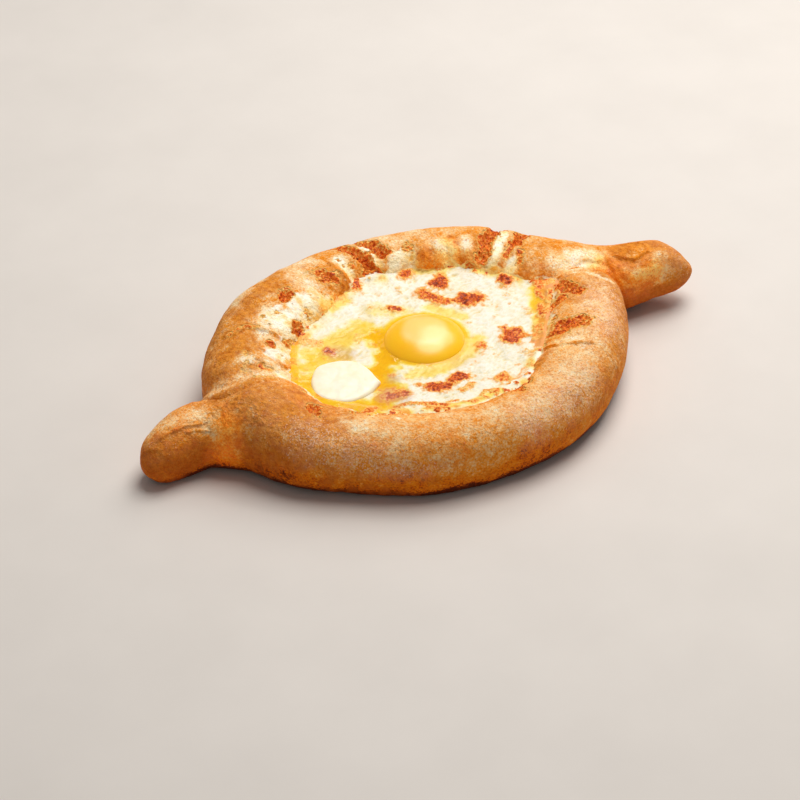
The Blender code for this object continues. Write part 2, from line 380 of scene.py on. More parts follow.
def pleat(share_along, distance):
    """Shallow folds of the far roll's inner slope, -1 to 1, fading out towards both ends."""
    fade = ease((share_along - 0.28) / 0.12) * ease((0.90 - share_along) / 0.10)
    wander = 1.3 * np.sin(distance / (1.7 * PLEAT_PITCH))
    unevenness = 0.7 + 0.3 * np.sin(distance / (0.9 * PLEAT_PITCH) + 1)
    return fade * unevenness * np.sin(2 * np.pi * distance / PLEAT_PITCH + wander)


def fuller(value):
    """A cosine or sine turned into the squarer curve of risen dough."""
    return np.sign(value) * np.abs(value) ** (2 / 2.25)


def roll_sections(stations, tip, tuck, rows, pleat_depth=0):
    """Places, headings and measures of the cross-sections of one roll, closer in its ends."""
    route = smooth_route(stations)
    strides = np.linalg.norm(np.diff(route[:, :2], axis=0), axis=1)
    along = np.concatenate([[0], np.cumsum(strides)])
    total = along[-1]
    turn = np.linspace(0.02, np.pi / 2, 26)
    first, last = tip * (1 - np.cos(turn)), total - tuck * (1 - np.cos(turn[::-1]))
    steady = np.linspace(tip, total - tuck, rows - 50)[1:-1]
    distance = np.concatenate([first, steady, last])
    x, y, inside, outside, foot, crest = (np.interp(distance, along, c) for c in route.T)
    ahead = [np.interp(distance + 4, along, c) for c in route.T[:2]]
    behind = [np.interp(distance - 4, along, c) for c in route.T[:2]]
    heading = np.stack(ahead, -1) - np.stack(behind, -1)
    heading /= np.linalg.norm(heading, axis=1, keepdims=True)
    full = 1 - (1 - np.clip(distance / tip, 0, 1)) ** 2
    full *= 1 - (1 - np.clip((total - distance) / tuck, 0, 1)) ** 2
    inside = inside + pleat_depth * pleat(distance / total, distance)
    measures = (inside, outside, foot - 3, crest, np.sqrt(full))
    return np.stack([x, y], -1), heading, measures, distance / total


def roll_skin(sections, columns):
    """The smooth skin of a roll as rows and columns of points."""
    place, heading, (inside, outside, foot, crest, full), _ = sections
    turns = np.linspace(0, 2 * np.pi, 2001)
    girth = np.linalg.norm(np.diff([fuller(np.cos(turns)), fuller(np.sin(turns))]), axis=0)
    girth *= np.where(np.sin(turns[1:]) > -0.5, 1, 0.4)
    measured = np.concatenate([[0], np.cumsum(girth)])
    turn = np.interp(np.arange(columns) / columns * measured[-1], measured, turns)
    inwards = np.stack([-heading[:, 1], heading[:, 0]], -1)
    reach = np.where(np.cos(turn) > 0, inside[:, None], outside[:, None]) * full[:, None]
    flat = place[:, None] + inwards[:, None] * (reach * fuller(np.cos(turn)))[..., None]
    half = ((crest - foot) / 2 * full)[:, None]
    height = ((crest + foot) / 2)[:, None] + half * fuller(np.sin(turn))
    return np.concatenate([flat, height[..., None]], axis=-1)


SECTIONS, ROUND_EACH = 520, 184
HANDLE_TIP = 10
NEAR_TUCK, FAR_TUCK = 21, 16
near_sections = roll_sections(NEAR_ROLL, HANDLE_TIP, NEAR_TUCK, SECTIONS)
far_sections = roll_sections(FAR_ROLL, HANDLE_TIP, FAR_TUCK, SECTIONS, pleat_depth=1.6)
near_skin = roll_skin(near_sections, ROUND_EACH)
far_skin = roll_skin(far_sections, ROUND_EACH)
for label, skin in (("near", near_skin), ("far", far_skin)):
    step = np.linalg.norm(np.diff(skin, axis=0), axis=-1)
    print(label, "roll:", skin.shape[:2], "sections", round(float(np.median(step)), 2), "mm apart")


# %% [markdown]
# ## Where dough meets dough
#
# Risen dough never meets dough in a knife-sharp line: the two press together and swell over the
# joint. Each roll therefore stands up a little where it comes near the other. The distance to a roll
# is measured from its nearest cross-section, which also serves to make the cheese climb the crust.


# %% Distance to a roll
def distance_to_roll(points, sections):
    """Roughly how far points are outside a roll, in millimetres, and below 0 inside it."""
    place, heading, measures, _ = sections
    place, heading, measures = place[::3], heading[::3], np.stack(measures, -1)[::3]
    along = np.concatenate([[0], np.cumsum(np.linalg.norm(np.diff(place, axis=0), axis=1))])
    growth = np.gradient(measures, along, axis=0)
    inwards = np.stack([-heading[:, 1], heading[:, 0]], -1)
    flat = points.reshape(-1, 3)
    found = np.empty(len(flat))
    for first in range(0, len(flat), 4000):
        some = flat[first : first + 4000]
        gaps = some[:, None, :2] - place[None]
        nearest = (gaps**2).sum(axis=-1).argmin(axis=1)
        gap = gaps[np.arange(len(some)), nearest]
        beyond = (gap * heading[nearest]).sum(axis=-1)
        across = (gap * inwards[nearest]).sum(axis=-1)
        within = np.clip(beyond, -1.5, 1.5)[:, None]
        inside, outside, foot, crest, full = (measures[nearest] + growth[nearest] * within).T
        up = some[:, 2] - (crest + foot) / 2
        full = np.maximum(full, 0.05)
        share = np.abs(across / np.where(across > 0, inside, outside) / full) ** 2.25
        share = (share + np.abs(up / ((crest - foot) / 2 * full)) ** 2.25) ** (1 / 2.25)
        away = np.hypot(across, up) * (1 - 1 / np.maximum(share, 1e-6))
        beyond *= (nearest == 0) | (nearest == len(place) - 1)
        found[first : first + 4000] = np.where(away > 0, np.hypot(away, beyond), away)
    return found.reshape(points.shape[:-1])


def swelling(points, sections, most, tuck_left, tuck_right, reach=9):
    """How far dough stands up as it comes near a roll, and how deep it tucks in where they touch."""
    away = distance_to_roll(points, sections)
    swollen = most * np.sin(np.pi * np.clip(away / reach, 0, 1) ** 0.7)
    tuck = np.where(points[..., 0] < 0, tuck_left, tuck_right)
    return swollen - tuck * ease((1.5 - away) / 4)


near_swell = swelling(near_skin, far_sections, 1.3, -0.5, 1.2)
far_swell = swelling(far_skin, near_sections, 1.1, 2.4, 1.0)
print("the rolls swell by up to", round(float(near_swell.max()), 1), "mm where they meet")


# %% The crests' distance from the middle
def crest_radius(angles):
    """How far out the rolls' crests are from the middle of the well, at angles in radians."""
    found = []
    for stations, first, last in ((FAR_ROLL, 18, 178), (NEAR_ROLL, 178, 368)):
        flat = smooth_route(stations)[:, :2] - MIDDLE_SHIFT
        angle = np.degrees(np.arctan2(*flat.T[::-1])) % 360
        angle = np.where(angle + 360 < last, angle + 360, angle)
        radius = np.linalg.norm(flat, axis=1)
        kept = (first <= angle) & (angle < last) & (radius < 100)
        found.append(np.stack([angle[kept] % 360, radius[kept]]))
    known = np.hstack(found)
    known = known[:, known[0].argsort()]
    return np.interp(np.degrees(angles) % 360, known[0], known[1], period=360)


print("the crests are", np.round(crest_radius(np.radians([0, 90, 180, 270])), 1).tolist(), "mm out")

# %% [markdown]
# ## Marks on the dough
#
# What makes this bread itself and not any other is where it browned, tore and dripped. Each mark is
# a short line over the surface, or a single place: its radius, its strength, then its places in
# millimetres from the middle of the bread. A mark's distance is measured mostly along the surface, so
# that it doesn't matter if its line runs a little above or below the dough.
#
# Many of the places given in tenths of a millimetre came out of another program, which found where
# chosen spots lie on the solids.


# %% Measuring marks
def mark_distance(points, normals, line):
    """Distance along the surface to a line or a single place, and which side it is seen on."""
    line = [np.array(place, float) for place in line]
    nearest = np.full(points.shape[:-1], np.inf)
    side = np.zeros(points.shape[:-1])
    for start, end in zip(line, line[1:] or line):
        way = end - start
        length = max(way @ way, 1e-9)
        share = np.clip((points - start) @ way / length, 0, 1)
        gap = points - start - share[..., None] * way
        raised = (gap * normals).sum(axis=-1)
        near = np.abs(raised) < 9
        gap = gap - (0.85 * raised * near)[..., None] * normals
        away = np.linalg.norm(gap, axis=-1)
        closer = away < nearest
        turned = np.sign((np.cross(way, gap) * normals).sum(axis=-1))
        side = np.where(closer, turned, side)
        nearest = np.where(closer, away, nearest)
    return nearest, side


def beside(points, line, reach):
    """Which points are anywhere near a line, so that the rest needn't be measured."""
    places = np.array(line, float)
    low, high = places.min(axis=0) - reach, places.max(axis=0) + reach
    return np.all((points > low) & (points < high), axis=-1)


def marked(points, normals, marks, ragged=0.35, soft=0.5):
    """A mask of marks with ragged edges, each as strong as its own strength."""
    edge = clouds(points, 5.6, 41) + 0.8 * clouds(points, 2.7, 42) + 0.4 * clouds(points, 1.4, 43)
    edge *= ragged
    found = np.zeros(points.shape[:-1])
    for radius, strength, *line in marks:
        near = beside(points, line, 2.2 * radius + 3)
        away, _ = mark_distance(points[near], normals[near], line)
        mask = strength * ease((1 + soft - away / radius - edge[near]) / (2 * soft))
        found[near] = np.maximum(found[near], mask)
    return found


def creased(points, normals, creases):
    """How deep creases run, 0 to 1, and how far the dough on their left side stands up."""
    wander = 0.6 * clouds(points, 8, 51) + 0.35 * clouds(points, 2.6, 52)
    broken = 0.65 + 0.5 * clouds(points, 6, 53)
    groove = np.zeros(points.shape[:-1])
    lip = np.zeros(points.shape[:-1])
    for width, strength, *line in creases:
        near = beside(points, line, 16)
        away, side = mark_distance(points[near], normals[near], line)
        away = away * side + wander[near]
        cut = strength * broken[near] * np.exp(-((away / width) ** 2))
        groove[near] = np.maximum(groove[near], cut)
        raised = strength * np.exp(-np.clip(away, 0, None) / 4) * ease((away + 0.2) / 1.2)
        lip[near] = np.maximum(lip[near], raised)
    return groove, lip


tried = np.array([(0.0, 0, 0), (3.0, 0, 0), (6.0, 0, 0)])
faded = marked(tried, np.array([(0.0, 0, 1)] * 3), ((3, 1.0, (0, 0, 0)),))
print("a mark of radius 3 at 0, 3 and 6 mm:", np.round(faded, 2).tolist())

# %% Creases
CREASES = (
    # The left handle's splits, its tip, and the wrinkles of its neck.
    (0.6, 1.0, (-135.5, 3.2, 25.5), (-130.7, 2.8, 26.8), (-127.1, 1.5, 27.4), (-123.6, 0.7, 27.1)),
    (0.6, 1.0, (-131.2, 0.4, 26.3), (-126.7, -0.6, 26.1), (-122.8, -2.4, 24.8)),
    (0.5, 0.6, (-142.8, 3.7, 23.9), (-137.5, 3.4, 25.2)),
    (0.5, 0.7, (-150.5, 6.5, 18), (-148, 4.1, 20.2), (-144.6, 1.2, 20.4), (-143.4, -1.6, 18)),
    (0.5, 0.4, (-113, 5, 31), (-111.6, 0.4, 31.8), (-112.6, -4.6, 30.4)),
    (0.5, 0.3, (-116.4, 2, 29.4), (-116, -3, 28.6), (-118.4, -7.6, 24)),
    (0.5, 0.25, (-107.8, -4.8, 34.8), (-106.4, -11.6, 34.7), (-104.1, -16.5, 34.1)),
    (0.5, 0.3, (-104.4, -22.6, 28.9), (-103.1, -29.4, 24.8)),
    # The torn fold and the drawn folds of the far roll at the left.
    (0.8, 1.0, (-86.8, 42.6, 36.5), (-82.8, 40, 38), (-74.8, 40.1, 39), (-69.1, 33.7, 38.1),
     (-62.7, 26.2, 33.4)),
    (0.5, 0.7, (-77.7, 24.6, 37), (-73.9, 16.4, 35), (-70, 10.3, 31.4)),
    (0.5, 0.6, (-83, 19, 37.6), (-78.5, 12, 35.8), (-73, 7.5, 32)),
    (0.5, 0.5, (-14.2, 66, 38.4), (-13.2, 59, 36.8), (-12.7, 52.5, 31.2)),
    (0.5, 0.6, (-21.8, 65, 39), (-17.6, 58, 36.6), (-15.6, 53, 32)),
    (0.5, 0.5, (-29, 66, 39.2), (-23.4, 57, 37), (-19.6, 51.4, 32)),
    # The right seam's double fold, the right handle's curl and the fold of the near roll.
    (0.6, 0.9, (67.4, -0.4, 27.5), (74.8, 2.5, 28), (80.3, 1.9, 31), (84.8, -4.1, 35.6)),
    (0.6, 0.7, (84.8, -4.1, 35.6), (90.8, -8.3, 36.4), (94.8, -15.3, 35.3)),
    (0.8, 1.0, (93, 3.6, 34), (99, 4.4, 33.2), (104, 1.2, 32.2)),
    (0.5, 0.6, (100, -0.4, 31.8), (105, -4, 29.6), (107, -9, 26)),
    (0.9, 1.3, (113.8, -0.9, 31), (116.6, -5.3, 32), (119.9, -7.5, 32), (123.3, -7.6, 32.6),
     (128.5, -6.8, 33.3)),
    (0.8, 1.2, (128.5, -6.8, 33.3), (130.4, -0.8, 32.9), (125.7, 4.9, 31)),
    (0.8, 1.0, (109.4, 6.8, 32.6), (107.4, -3, 31.4), (107.6, -9.9, 27.8), (109, -14, 20)),
    (0.8, 0.9, (33.2, -36.6, 27), (39.6, -44.4, 32.8), (45.2, -50.3, 36.5), (52, -53.9, 37.3),
     (56.1, -56.9, 36.8)),
    (0.6, 0.3, (56.1, -56.9, 36.8), (59.6, -60.6, 34.8), (61.8, -64.8, 30.2), (65.7, -65.8, 20.8)),
)
print(len(CREASES), "creases")

# %% Dough stretched pale
PALE_NEAR = (
    # Dough stretched white on the near roll: its fold, its necks and the edge of its right end.
    (1.6, 0.7, (71, 3.4, 29.5), (79.9, 3.7, 32.3), (86, 1.4, 32.5), (87.9, -5.1, 35.6)),
    (1.3, 0.6, (87.9, -5.1, 35.6), (89.9, -10.4, 36.6), (92.4, -15.4, 36.4), (96.9, -19.5, 33.7)),
    (2.2, 0.7, (35, -37.6, 28), (41.6, -42.4, 33.8), (46.2, -48.3, 36.5), (54, -51.9, 37.3)),
    (9.0, 0.3, (78, -30, 37), (60, -50, 37)),
    (6.0, 0.3, (-58, -44, 33), (-40, -56, 33), (-20, -62, 33)),
    (3.4, 0.4, (-146, 9, 20), (-134, 8, 26), (-122, 6, 29)),
    (5.0, 0.25, (-71.8, -42, 32.5), (-57.2, -57.1, 32.2)),
    (12.0, 0.2, (9.8, -78, 31.4), (30, -70, 33), (48, -60, 35)),
)
PALE_FAR = (
    # Dough stretched white on the far roll: over its folds and down the back wall.
    (3.8, 0.55, (-110, 21, 25), (-104.3, 14.3, 32), (-96.8, 12.3, 35.5), (-87.9, 11, 36)),
    (3.2, 0.7, (-87.9, 11, 36), (-79.2, 9.5, 34.7), (-71.7, 7.5, 31.2)),
    (3.0, 0.8, (-86.9, 20.4, 37.4), (-82.1, 14.6, 36.2), (-75.9, 9.2, 32.5)),
    (2.4, 0.8, (-72, 31, 38), (-66, 22, 35), (-63, 14, 30)),
    (5.0, 1.0, (-58, 40, 38), (-50.6, 41.4, 37.8), (-45.1, 38, 32.5)),
    (4.6, 1.0, (-53, 34, 33), (-48.9, 30.8, 28.8)),
    (5.0, 0.9, (-40, 47, 35), (-34.7, 46.5, 35)),
    (4.0, 0.8, (-63, 35, 36), (-56, 30, 30)),
    (6.0, 0.6, (-34, 54, 38.6), (-37.2, 60, 40), (-24, 70, 38)),
    (4.0, 0.9, (-60, 46, 40), (-70.3, 34.3, 38.2)),
    (8.0, 0.15, (-94, 46, 30), (-103, 31, 27), (-107, 20, 27)),
    (5.0, 0.5, (-48, 74, 34), (-66, 64, 34)),
    (3.0, 1.0, (-8.7, 65.7, 38), (-6.9, 57.5, 34)),
    (3.6, 0.5, (20, 70, 37), (24, 62, 37)),
    (3.4, 1.0, (11, 75, 36), (8.5, 67, 37), (9, 58, 34)),
    (4.0, 1.0, (42.7, 50.7, 36.1), (43.8, 45.3, 34.2), (43, 43, 31)),
    (3.4, 1.0, (53.3, 45.4, 37.6), (52.6, 42.3, 35.7)),
    (4.4, 1.1, (26.2, 55, 33), (18, 56.5, 32)),
    (2.6, 1.0, (73, 40.5, 37.5), (64.3, 32.5, 37), (58.5, 28.3, 33.2)),
    (3.0, 0.9, (67.1, 21.7, 35), (62, 19, 31)),
    (5.5, 1.2, (84, 8, 36), (92, 5.5, 34.5), (100, 3.5, 32.8)),
    (3.6, 0.8, (108.5, 5.3, 32.6), (104, -1, 31)),
    (4.6, 1.2, (94, 9, 34), (104, 6, 33)),
    (3.4, 0.5, (118.7, -14.4, 24.9), (123.6, -14.6, 26.3), (129.3, -16.2, 21.9)),
    (1.8, 0.6, (132, -10, 32.6), (127.1, -14.3, 28), (122.4, -14.6, 26.2)),
    (2.6, 0.5, (129.7, -16.4, 22.2), (133.8, -15.3, 25.7)),
)
print(len(PALE_NEAR) + len(PALE_FAR), "pale places")

# %% Golden patches
GOLDEN = (
    # Patches that took more heat.
    (9.0, 0.9, (-51.8, 60.9, 40.8), (-42, 64, 40)),
    (8.0, 0.6, (-99.6, 26.5, 33.5), (-92.2, 17.6, 37)),
    (6.5, 1.0, (-90.3, 30, 37.2), (-80.9, 30.5, 38)),
    (3.0, 1.0, (-84.8, 43.5, 37), (-77.8, 42.5, 39), (-70.1, 36.7, 39)),
    (5.0, 0.7, (-72, 50, 38.5), (-66, 44, 39.5)),
    (5.0, 0.7, (-57, 28, 32), (-64, 20, 34)),
    (3.4, 1.0, (-83.6, 14.6, 36.6), (-88.4, 14, 36.8)),
    (5.0, 0.8, (-17.4, 63, 38.4), (-24, 68, 38)),
    (4.0, 0.9, (-15.2, 56.3, 35.1), (-12.7, 51.5, 31.2)),
    (4.0, 1.0, (29.5, 52.5, 34), (34.4, 50, 33)),
    (2.8, 1.0, (48.6, 50.6, 37.6), (49.2, 43.5, 33), (48.6, 40, 30.6)),
    (3.0, 1.0, (49.5, 48, 38), (50.5, 41, 33)),
    (4.0, 0.8, (57.5, 42, 38.3), (55.5, 37, 33.6)),
    (5.0, 0.8, (58, 24, 31), (68, 12, 31)),
    (7.0, 0.6, (84, 22, 37), (78, 13, 34)),
    (6.0, 0.9, (124.9, 2.5, 33.2), (116, 4, 31.6)),
    (3.4, 0.9, (118, -8.6, 31.2), (124, -9.7, 31), (129, -6, 32)),
    (6.0, 0.9, (136.1, -1, 31.3), (145, -8, 26.6)),
    (6.0, 1.0, (-74, 50, 39), (-66, 54, 39.8), (-54, 62, 40.4)),
    (5.0, 0.9, (-44.6, 45.4, 38.2), (-47.2, 54, 40.4)),
    (4.0, 0.8, (-62.7, 26.2, 33.4), (-63.8, 19.4, 29.7)),
    (8.0, 1.1, (120, 4, 31), (132, 0, 31), (140, -6, 29)),
    (5.0, 0.7, (146.1, -13, 24.1), (149.1, -14.6, 16.3)),
    (6.0, 1.0, (72, 2, 30), (66, -9, 30), (57, -22, 30), (46, -34, 30)),
    (4.5, 0.9, (53, -29, 30), (44, -40, 31), (30, -52, 31)),
    (3.4, 0.9, (18, -59, 31), (0, -60, 30.4), (-20, -58, 30)),
    (3.4, 0.8, (-26, -55, 29.6), (-48, -43, 29.6), (-66, -33, 31)),
    (8.0, 0.9, (-81, -14, 36), (-77, -26, 33)),
    (13.0, 1.2, (-99, -6, 36.5), (-92, -22, 35), (-82, -34, 33)),
    (9.0, 0.9, (-104, -20, 28), (-97, -36, 22)),
    (10.0, 1.0, (-145, 0, 14), (-130, -4, 14)),
    (9.0, 1.0, (-108, -18, 22), (-102, -26, 16)),
    (8.0, 0.6, (-104, -30, 12), (-92, -42, 10), (-66, -62, 9)),
    (12.0, 0.5, (-94, -39, 24), (-89, -48, 18), (-75, -60, 15), (-50, -72, 15)),
    (9.0, 0.5, (17.5, -85.5, 22.8), (38.5, -80, 25), (47.5, -75.5, 27)),
    (14.0, 0.8, (88, -36, 30), (99, -20, 30), (104, 0, 28)),
    (9.0, 0.6, (72, -54, 32), (60, -66, 27), (44, -78, 24)),
    (9.0, 0.7, (82, 4, 37), (76, -4, 35), (74, -24, 37)),
    (6.0, 0.8, (133, -2, 32), (120, 2, 32)),
    (14.0, 1.0, (-104, 16, 28), (-96, 40, 28), (-80, 60, 28)),
    (9.0, 0.6, (-93, 20, 36), (-88, 40, 37), (-78, 52, 38)),
    (8.0, 1.3, (112, -14, 12), (124, -17, 12), (140, -17, 12)),
)
print(len(GOLDEN), "golden patches")

# %% Blisters of cheese on the crust
BLISTERS = (
    (4.6, 1.2, (-51, 32.6, 32.5)),
    (3.4, 1.3, (-48.6, 50.8, 40.3), (-46.5, 52.6, 40.3)),
    (3.4, 1.0, (-22.5, 60, 38), (-18, 55.5, 36.5)),
    (2.9, 1.0, (-71, 25.6, 36.2)),
    (3.0, 0.7, (-53, 28.5, 29), (-48, 25.5, 27)),
    (2.2, 0.6, (-83.5, 12.8, 36.5), (-80, 11, 35)),
    (2.0, 0.5, (-57.6, 42.6, 39.4)),
    (1.8, 0.5, (-65, 43.5, 39.8)),
    (2.0, 0.45, (-27.8, 49.2, 34)),
    (2.3, 0.6, (-65.8, 11.6, 27.6)),
    (2.4, 0.65, (-75, -9.5, 33)),
    (3.5, 1.2, (-78.6, -26.5, 33.3), (-77, -23.8, 33)),
    (1.6, 0.6, (-84.5, 41.5, 37.6), (-77, 41.8, 39), (-71.6, 37.7, 38.8)),
    (3.4, 1.4, (-2.5, 81, 35.5), (-0.5, 73.8, 36.9), (2.2, 67, 37.2), (4.8, 58, 34)),
    (3.6, 1.4, (7, 84, 34), (8.5, 77.5, 35.4), (12.7, 70, 37), (14, 61, 37)),
    (2.2, 0.6, (-3.5, 60.6, 35.7)),
    (3.2, 0.65, (27.5, 57.5, 37)),
    (4.2, 1.4, (80, 54, 34.5), (76, 50, 36.7), (71, 46, 38), (65, 41.5, 38.3)),
    (3.4, 1.2, (65, 41.5, 38.3), (60, 37.5, 37), (55.5, 33, 33.5)),
    (3.8, 1.4, (85, 38, 35.5), (80.5, 34.5, 37), (75, 30.5, 37.6)),
    (2.0, 0.8, (74, 30, 37.6), (69, 29, 36.9), (65.6, 26.5, 35)),
    (1.9, 0.8, (71.8, 23.5, 37.2), (68.5, 19, 35)),
    (2.8, 0.9, (49.6, 33.9, 29)),
    (2.0, 0.7, (72, 6.2, 29.8)),
    (3.8, 1.1, (74.2, -6.5, 34), (75, -18.5, 37)),
    (2.8, 0.95, (68, -17.3, 35.9), (61.5, -17.5, 31.5), (57.5, -20.5, 29)),
    (4.2, 1.1, (52.9, -36.2, 35), (57, -39.3, 36.9), (62.5, -40.5, 37.7)),
    (3.0, 0.9, (52, -41.5, 36.4), (47.5, -36.5, 32)),
    (4.2, 0.95, (11, -61.5, 31), (17, -57.5, 31)),
    (2.4, 0.7, (-62.5, -34.4, 31.2), (-56, -37, 29.8), (-50, -38, 28.6)),
    (1.5, 0.5, (-3.9, -60.3, 30.5), (0.6, -61.9, 31.4)),
    (4.6, 1.2, (4.6, 55, 31)),
    (3.0, 0.45, (-29.6, 62, 39.5), (-25, 62, 38.6)),
    (2.2, 0.7, (-83.6, 13.3, 36.6)),
    (3.0, 0.4, (-91.7, 15.3, 37), (-88, 17, 37)),
    (2.4, 0.6, (-62.7, 26.2, 33.4), (-57, 27, 31)),
    (1.6, 0.55, (-66, 37, 37.6)),
    (1.8, 0.5, (-60, 20, 29.4)),
    (1.7, 0.5, (-42, 43, 34)),
    (2.2, 0.6, (-86, 24, 37)),
    (2.2, 0.5, (-90, 8, 34.6), (-84, 4, 34.4)),
    (2.0, 0.6, (-72, 1, 31)),
    (2.0, 0.7, (66, -9, 31.5), (62, -13, 30.5)),
    (1.8, 0.6, (58, -28, 31.5), (53, -31, 31)),
    (3.0, 0.5, (66.3, -13.7, 32.2), (64.3, -13.1, 30.1), (60.6, -14.9, 27.6)),
    (2.6, 0.6, (52, -22, 28.5), (49.5, -24.4, 28)),
    (2.4, 0.55, (45, -31, 28.4), (41, -37, 29)),
    (2.6, 0.5, (36, -40, 28.4), (41.1, -40.2, 31)),
    (2.4, 0.8, (19.6, -55.2, 29.6), (26, -51, 29.6)),
    (2.2, 0.5, (71, 6.8, 29.5), (69, -1.4, 28.5)),
)
print(len(BLISTERS), "blisters")

# %% Flour, films of cheese, butter and wrinkles
FLOURED = (
    (10.0, 0.9, (-90, -34, 31), (-79, -50, 27), (-70, -60, 23), (-58, -68, 17)),
    (7.0, 0.8, (-70, -60, 20), (-44, -77, 17)),
    (11.0, 1.0, (4, -80, 30), (22, -80, 31), (40, -74, 33)),
    (18.0, 0.35, (-98, -10, 36), (-78, -40, 32), (-44, -66, 28)),
    (14.0, 0.3, (-4, -76, 32), (22, -78, 31), (50, -66, 33)),
    (13.0, 1.0, (84, -30, 36), (72, -46, 36)),
    (14.0, 0.4, (-108, 30, 16), (-98, 48, 18), (-70, 74, 20)),
    (12.0, 0.4, (-30, 88, 22), (30, 90, 22), (74, 66, 22)),
    (14.0, 0.6, (96, -28, 26), (84, -48, 24)),
    (10.0, 0.6, (146, -8, 26), (150, -10, 18)),
    (10.0, 0.35, (-142, 8, 20), (-120, 10, 24)),
)
FILMED = (
    # Where a film of cheese was drawn up the crust, beyond the band that runs all round.
    (8.0, 1.0, (-60, 40, 38), (-54, 35, 35), (-50, 30, 29)),
    (8.0, 1.0, (-43, 45, 37), (-44, 36, 29)),
    (7.0, 1.0, (-70, 20, 35.5), (-62, 22, 31), (-58, 28, 30)),
    (5.0, 0.8, (-76, 6, 33), (-70, -4, 30), (-68, -16, 30)),
    (5.0, 0.8, (-34, 50, 35), (-26, 47, 30)),
    (2.6, 1.0, (-8.7, 65.7, 38), (-7.5, 58, 35), (-6, 54, 31)),
    (3.0, 0.9, (11, 75, 36), (8.5, 67, 37), (9, 58, 33)),
    (2.6, 1.0, (74, 41.5, 37.4), (65, 33, 37), (58.5, 28.3, 33), (55, 25, 29)),
    (2.6, 0.9, (67, 22, 35), (61, 18.5, 31)),
    (4.4, 0.9, (26.2, 55, 33.5), (18, 56.5, 32)),
    (4.6, 0.8, (74, 2, 30), (68, -9, 30), (62, -17, 30), (54, -26, 30)),
    (3.4, 0.8, (54, -26, 30), (43, -35, 30), (34, -44, 30)),
)
CHEESY = (
    # Where melted cheese and butter ran up the crust and left it yellow and shiny.
    (5.0, 0.35, (-60, 25, 29), (-56, 30, 29), (-42, 40, 29)),
    (5.0, 1.0, (-32, 44.6, 30), (-26, 44.5, 29), (-22, 47, 29.4)),
    (4.0, 0.5, (-16, 53, 29), (2, 54, 28), (20, 52, 28)),
    (5.5, 0.9, (30, 50, 32), (44, 42, 31), (53, 35, 30)),
    (4.0, 0.9, (45.6, 50.6, 37.6), (46.8, 43.5, 33)),
    (5.0, 0.8, (56, 27, 29), (63, 18, 28), (70, 8, 29)),
    (4.0, 0.9, (70, 0, 29), (62, -12, 28), (52, -26, 28), (40, -42, 29)),
    (7.0, 0.9, (104, 0, 27), (108, -8, 24), (116, -14, 22), (126, -15, 26)),
    (7.0, 1.0, (-112, -8, 27), (-115, -11, 20), (-118.7, -9, 12.7)),
)
WRINKLED = (
    (7.0, 1.0, (-104, -2, 35.6), (-104, -14, 35)),
    (6.0, 0.8, (-113, 4, 30), (-116, -6, 24)),
    (6.0, 0.7, (-126, 2, 27), (-119, 0, 28)),
    (6.0, 0.9, (-76, 22, 36.6), (-72, 12, 33)),
    (7.0, 0.8, (-60, 36, 37), (-48, 40, 35)),
    (7.0, 0.8, (-18, 62, 37.4), (-10, 58, 35)),
    (6.0, 0.9, (96, 4, 33.6), (104, -2, 31)),
    (5.0, 0.8, (119, -2, 32.6), (126, -8, 31.6)),
    (6.0, 0.6, (46, -46, 35), (56, -54, 37)),
    (6.0, 0.6, (88, -10, 36), (80, -2, 33)),
)
print(len(FLOURED), "floured,", len(FILMED), "filmed,", len(CHEESY), "cheesy places")

# %% [markdown]
# ## Relief of the dough
#
# A risen skin is uneven at several sizes, from slow slumps through knuckle-sized lumps to the fine
# wrinkling of the dried surface. Blisters and films of cheese stand up and are bubbly; creases cut
# in and leave a raised lip; between the drips the dough is drawn into hollows. All of it moves the
# points straight out or in, and most of the marks are kept on the mesh as masks for the paint.


# %% Relief of the dough
FILL_LEVEL = 26.2
HOLLOWS = (
    (4.2, 1.0, (33.6, 53.5, 33), (32.6, 50.5, 29)),
    (4.0, 1.0, (39.6, 50.5, 33), (38.6, 47.2, 29)),
    (3.8, 1.0, (46.2, 46.2, 33), (45.0, 43.0, 29)),
    (3.4, 0.9, (51.6, 40.4, 33), (50.5, 37.5, 29.5)),
    (4.5, 0.9, (18, 56, 33), (17.5, 51, 29)),
    (4.0, 0.8, (59.5, 29.5, 33), (57, 26, 29)),
    (5.0, 0.9, (-33, 45.5, 30), (-26, 46.5, 29)),
    (3.6, 0.8, (-13, 57.5, 33), (-12, 52.5, 29)),
    (6.0, 0.8, (-117.4, -6.1, 25), (-116.5, -9.5, 18)),
    (4.0, 0.5, (-141, 6.5, 26), (-136, 5, 27)),
    (4.0, 0.6, (119.5, -1, 32.5)),
    (5.0, 0.5, (-66, 36, 38), (-58, 34, 34)),
)


def outward(grid):
    """The direction straight out of each point of a grid that closes round."""
    along = np.gradient(grid, axis=0)
    around = (np.roll(grid, -1, axis=1) - np.roll(grid, 1, axis=1)) / 2
    normal = np.cross(along, around)
    return normal / np.maximum(np.linalg.norm(normal, axis=-1, keepdims=True), 1e-9)


def flecks(points):
    """Small browned flecks of cheese, 0 to 1, in the same places on the crust as on the cheese."""
    return ease((rough_clouds(points, 4.6, 21) - 0.16) / 0.34)


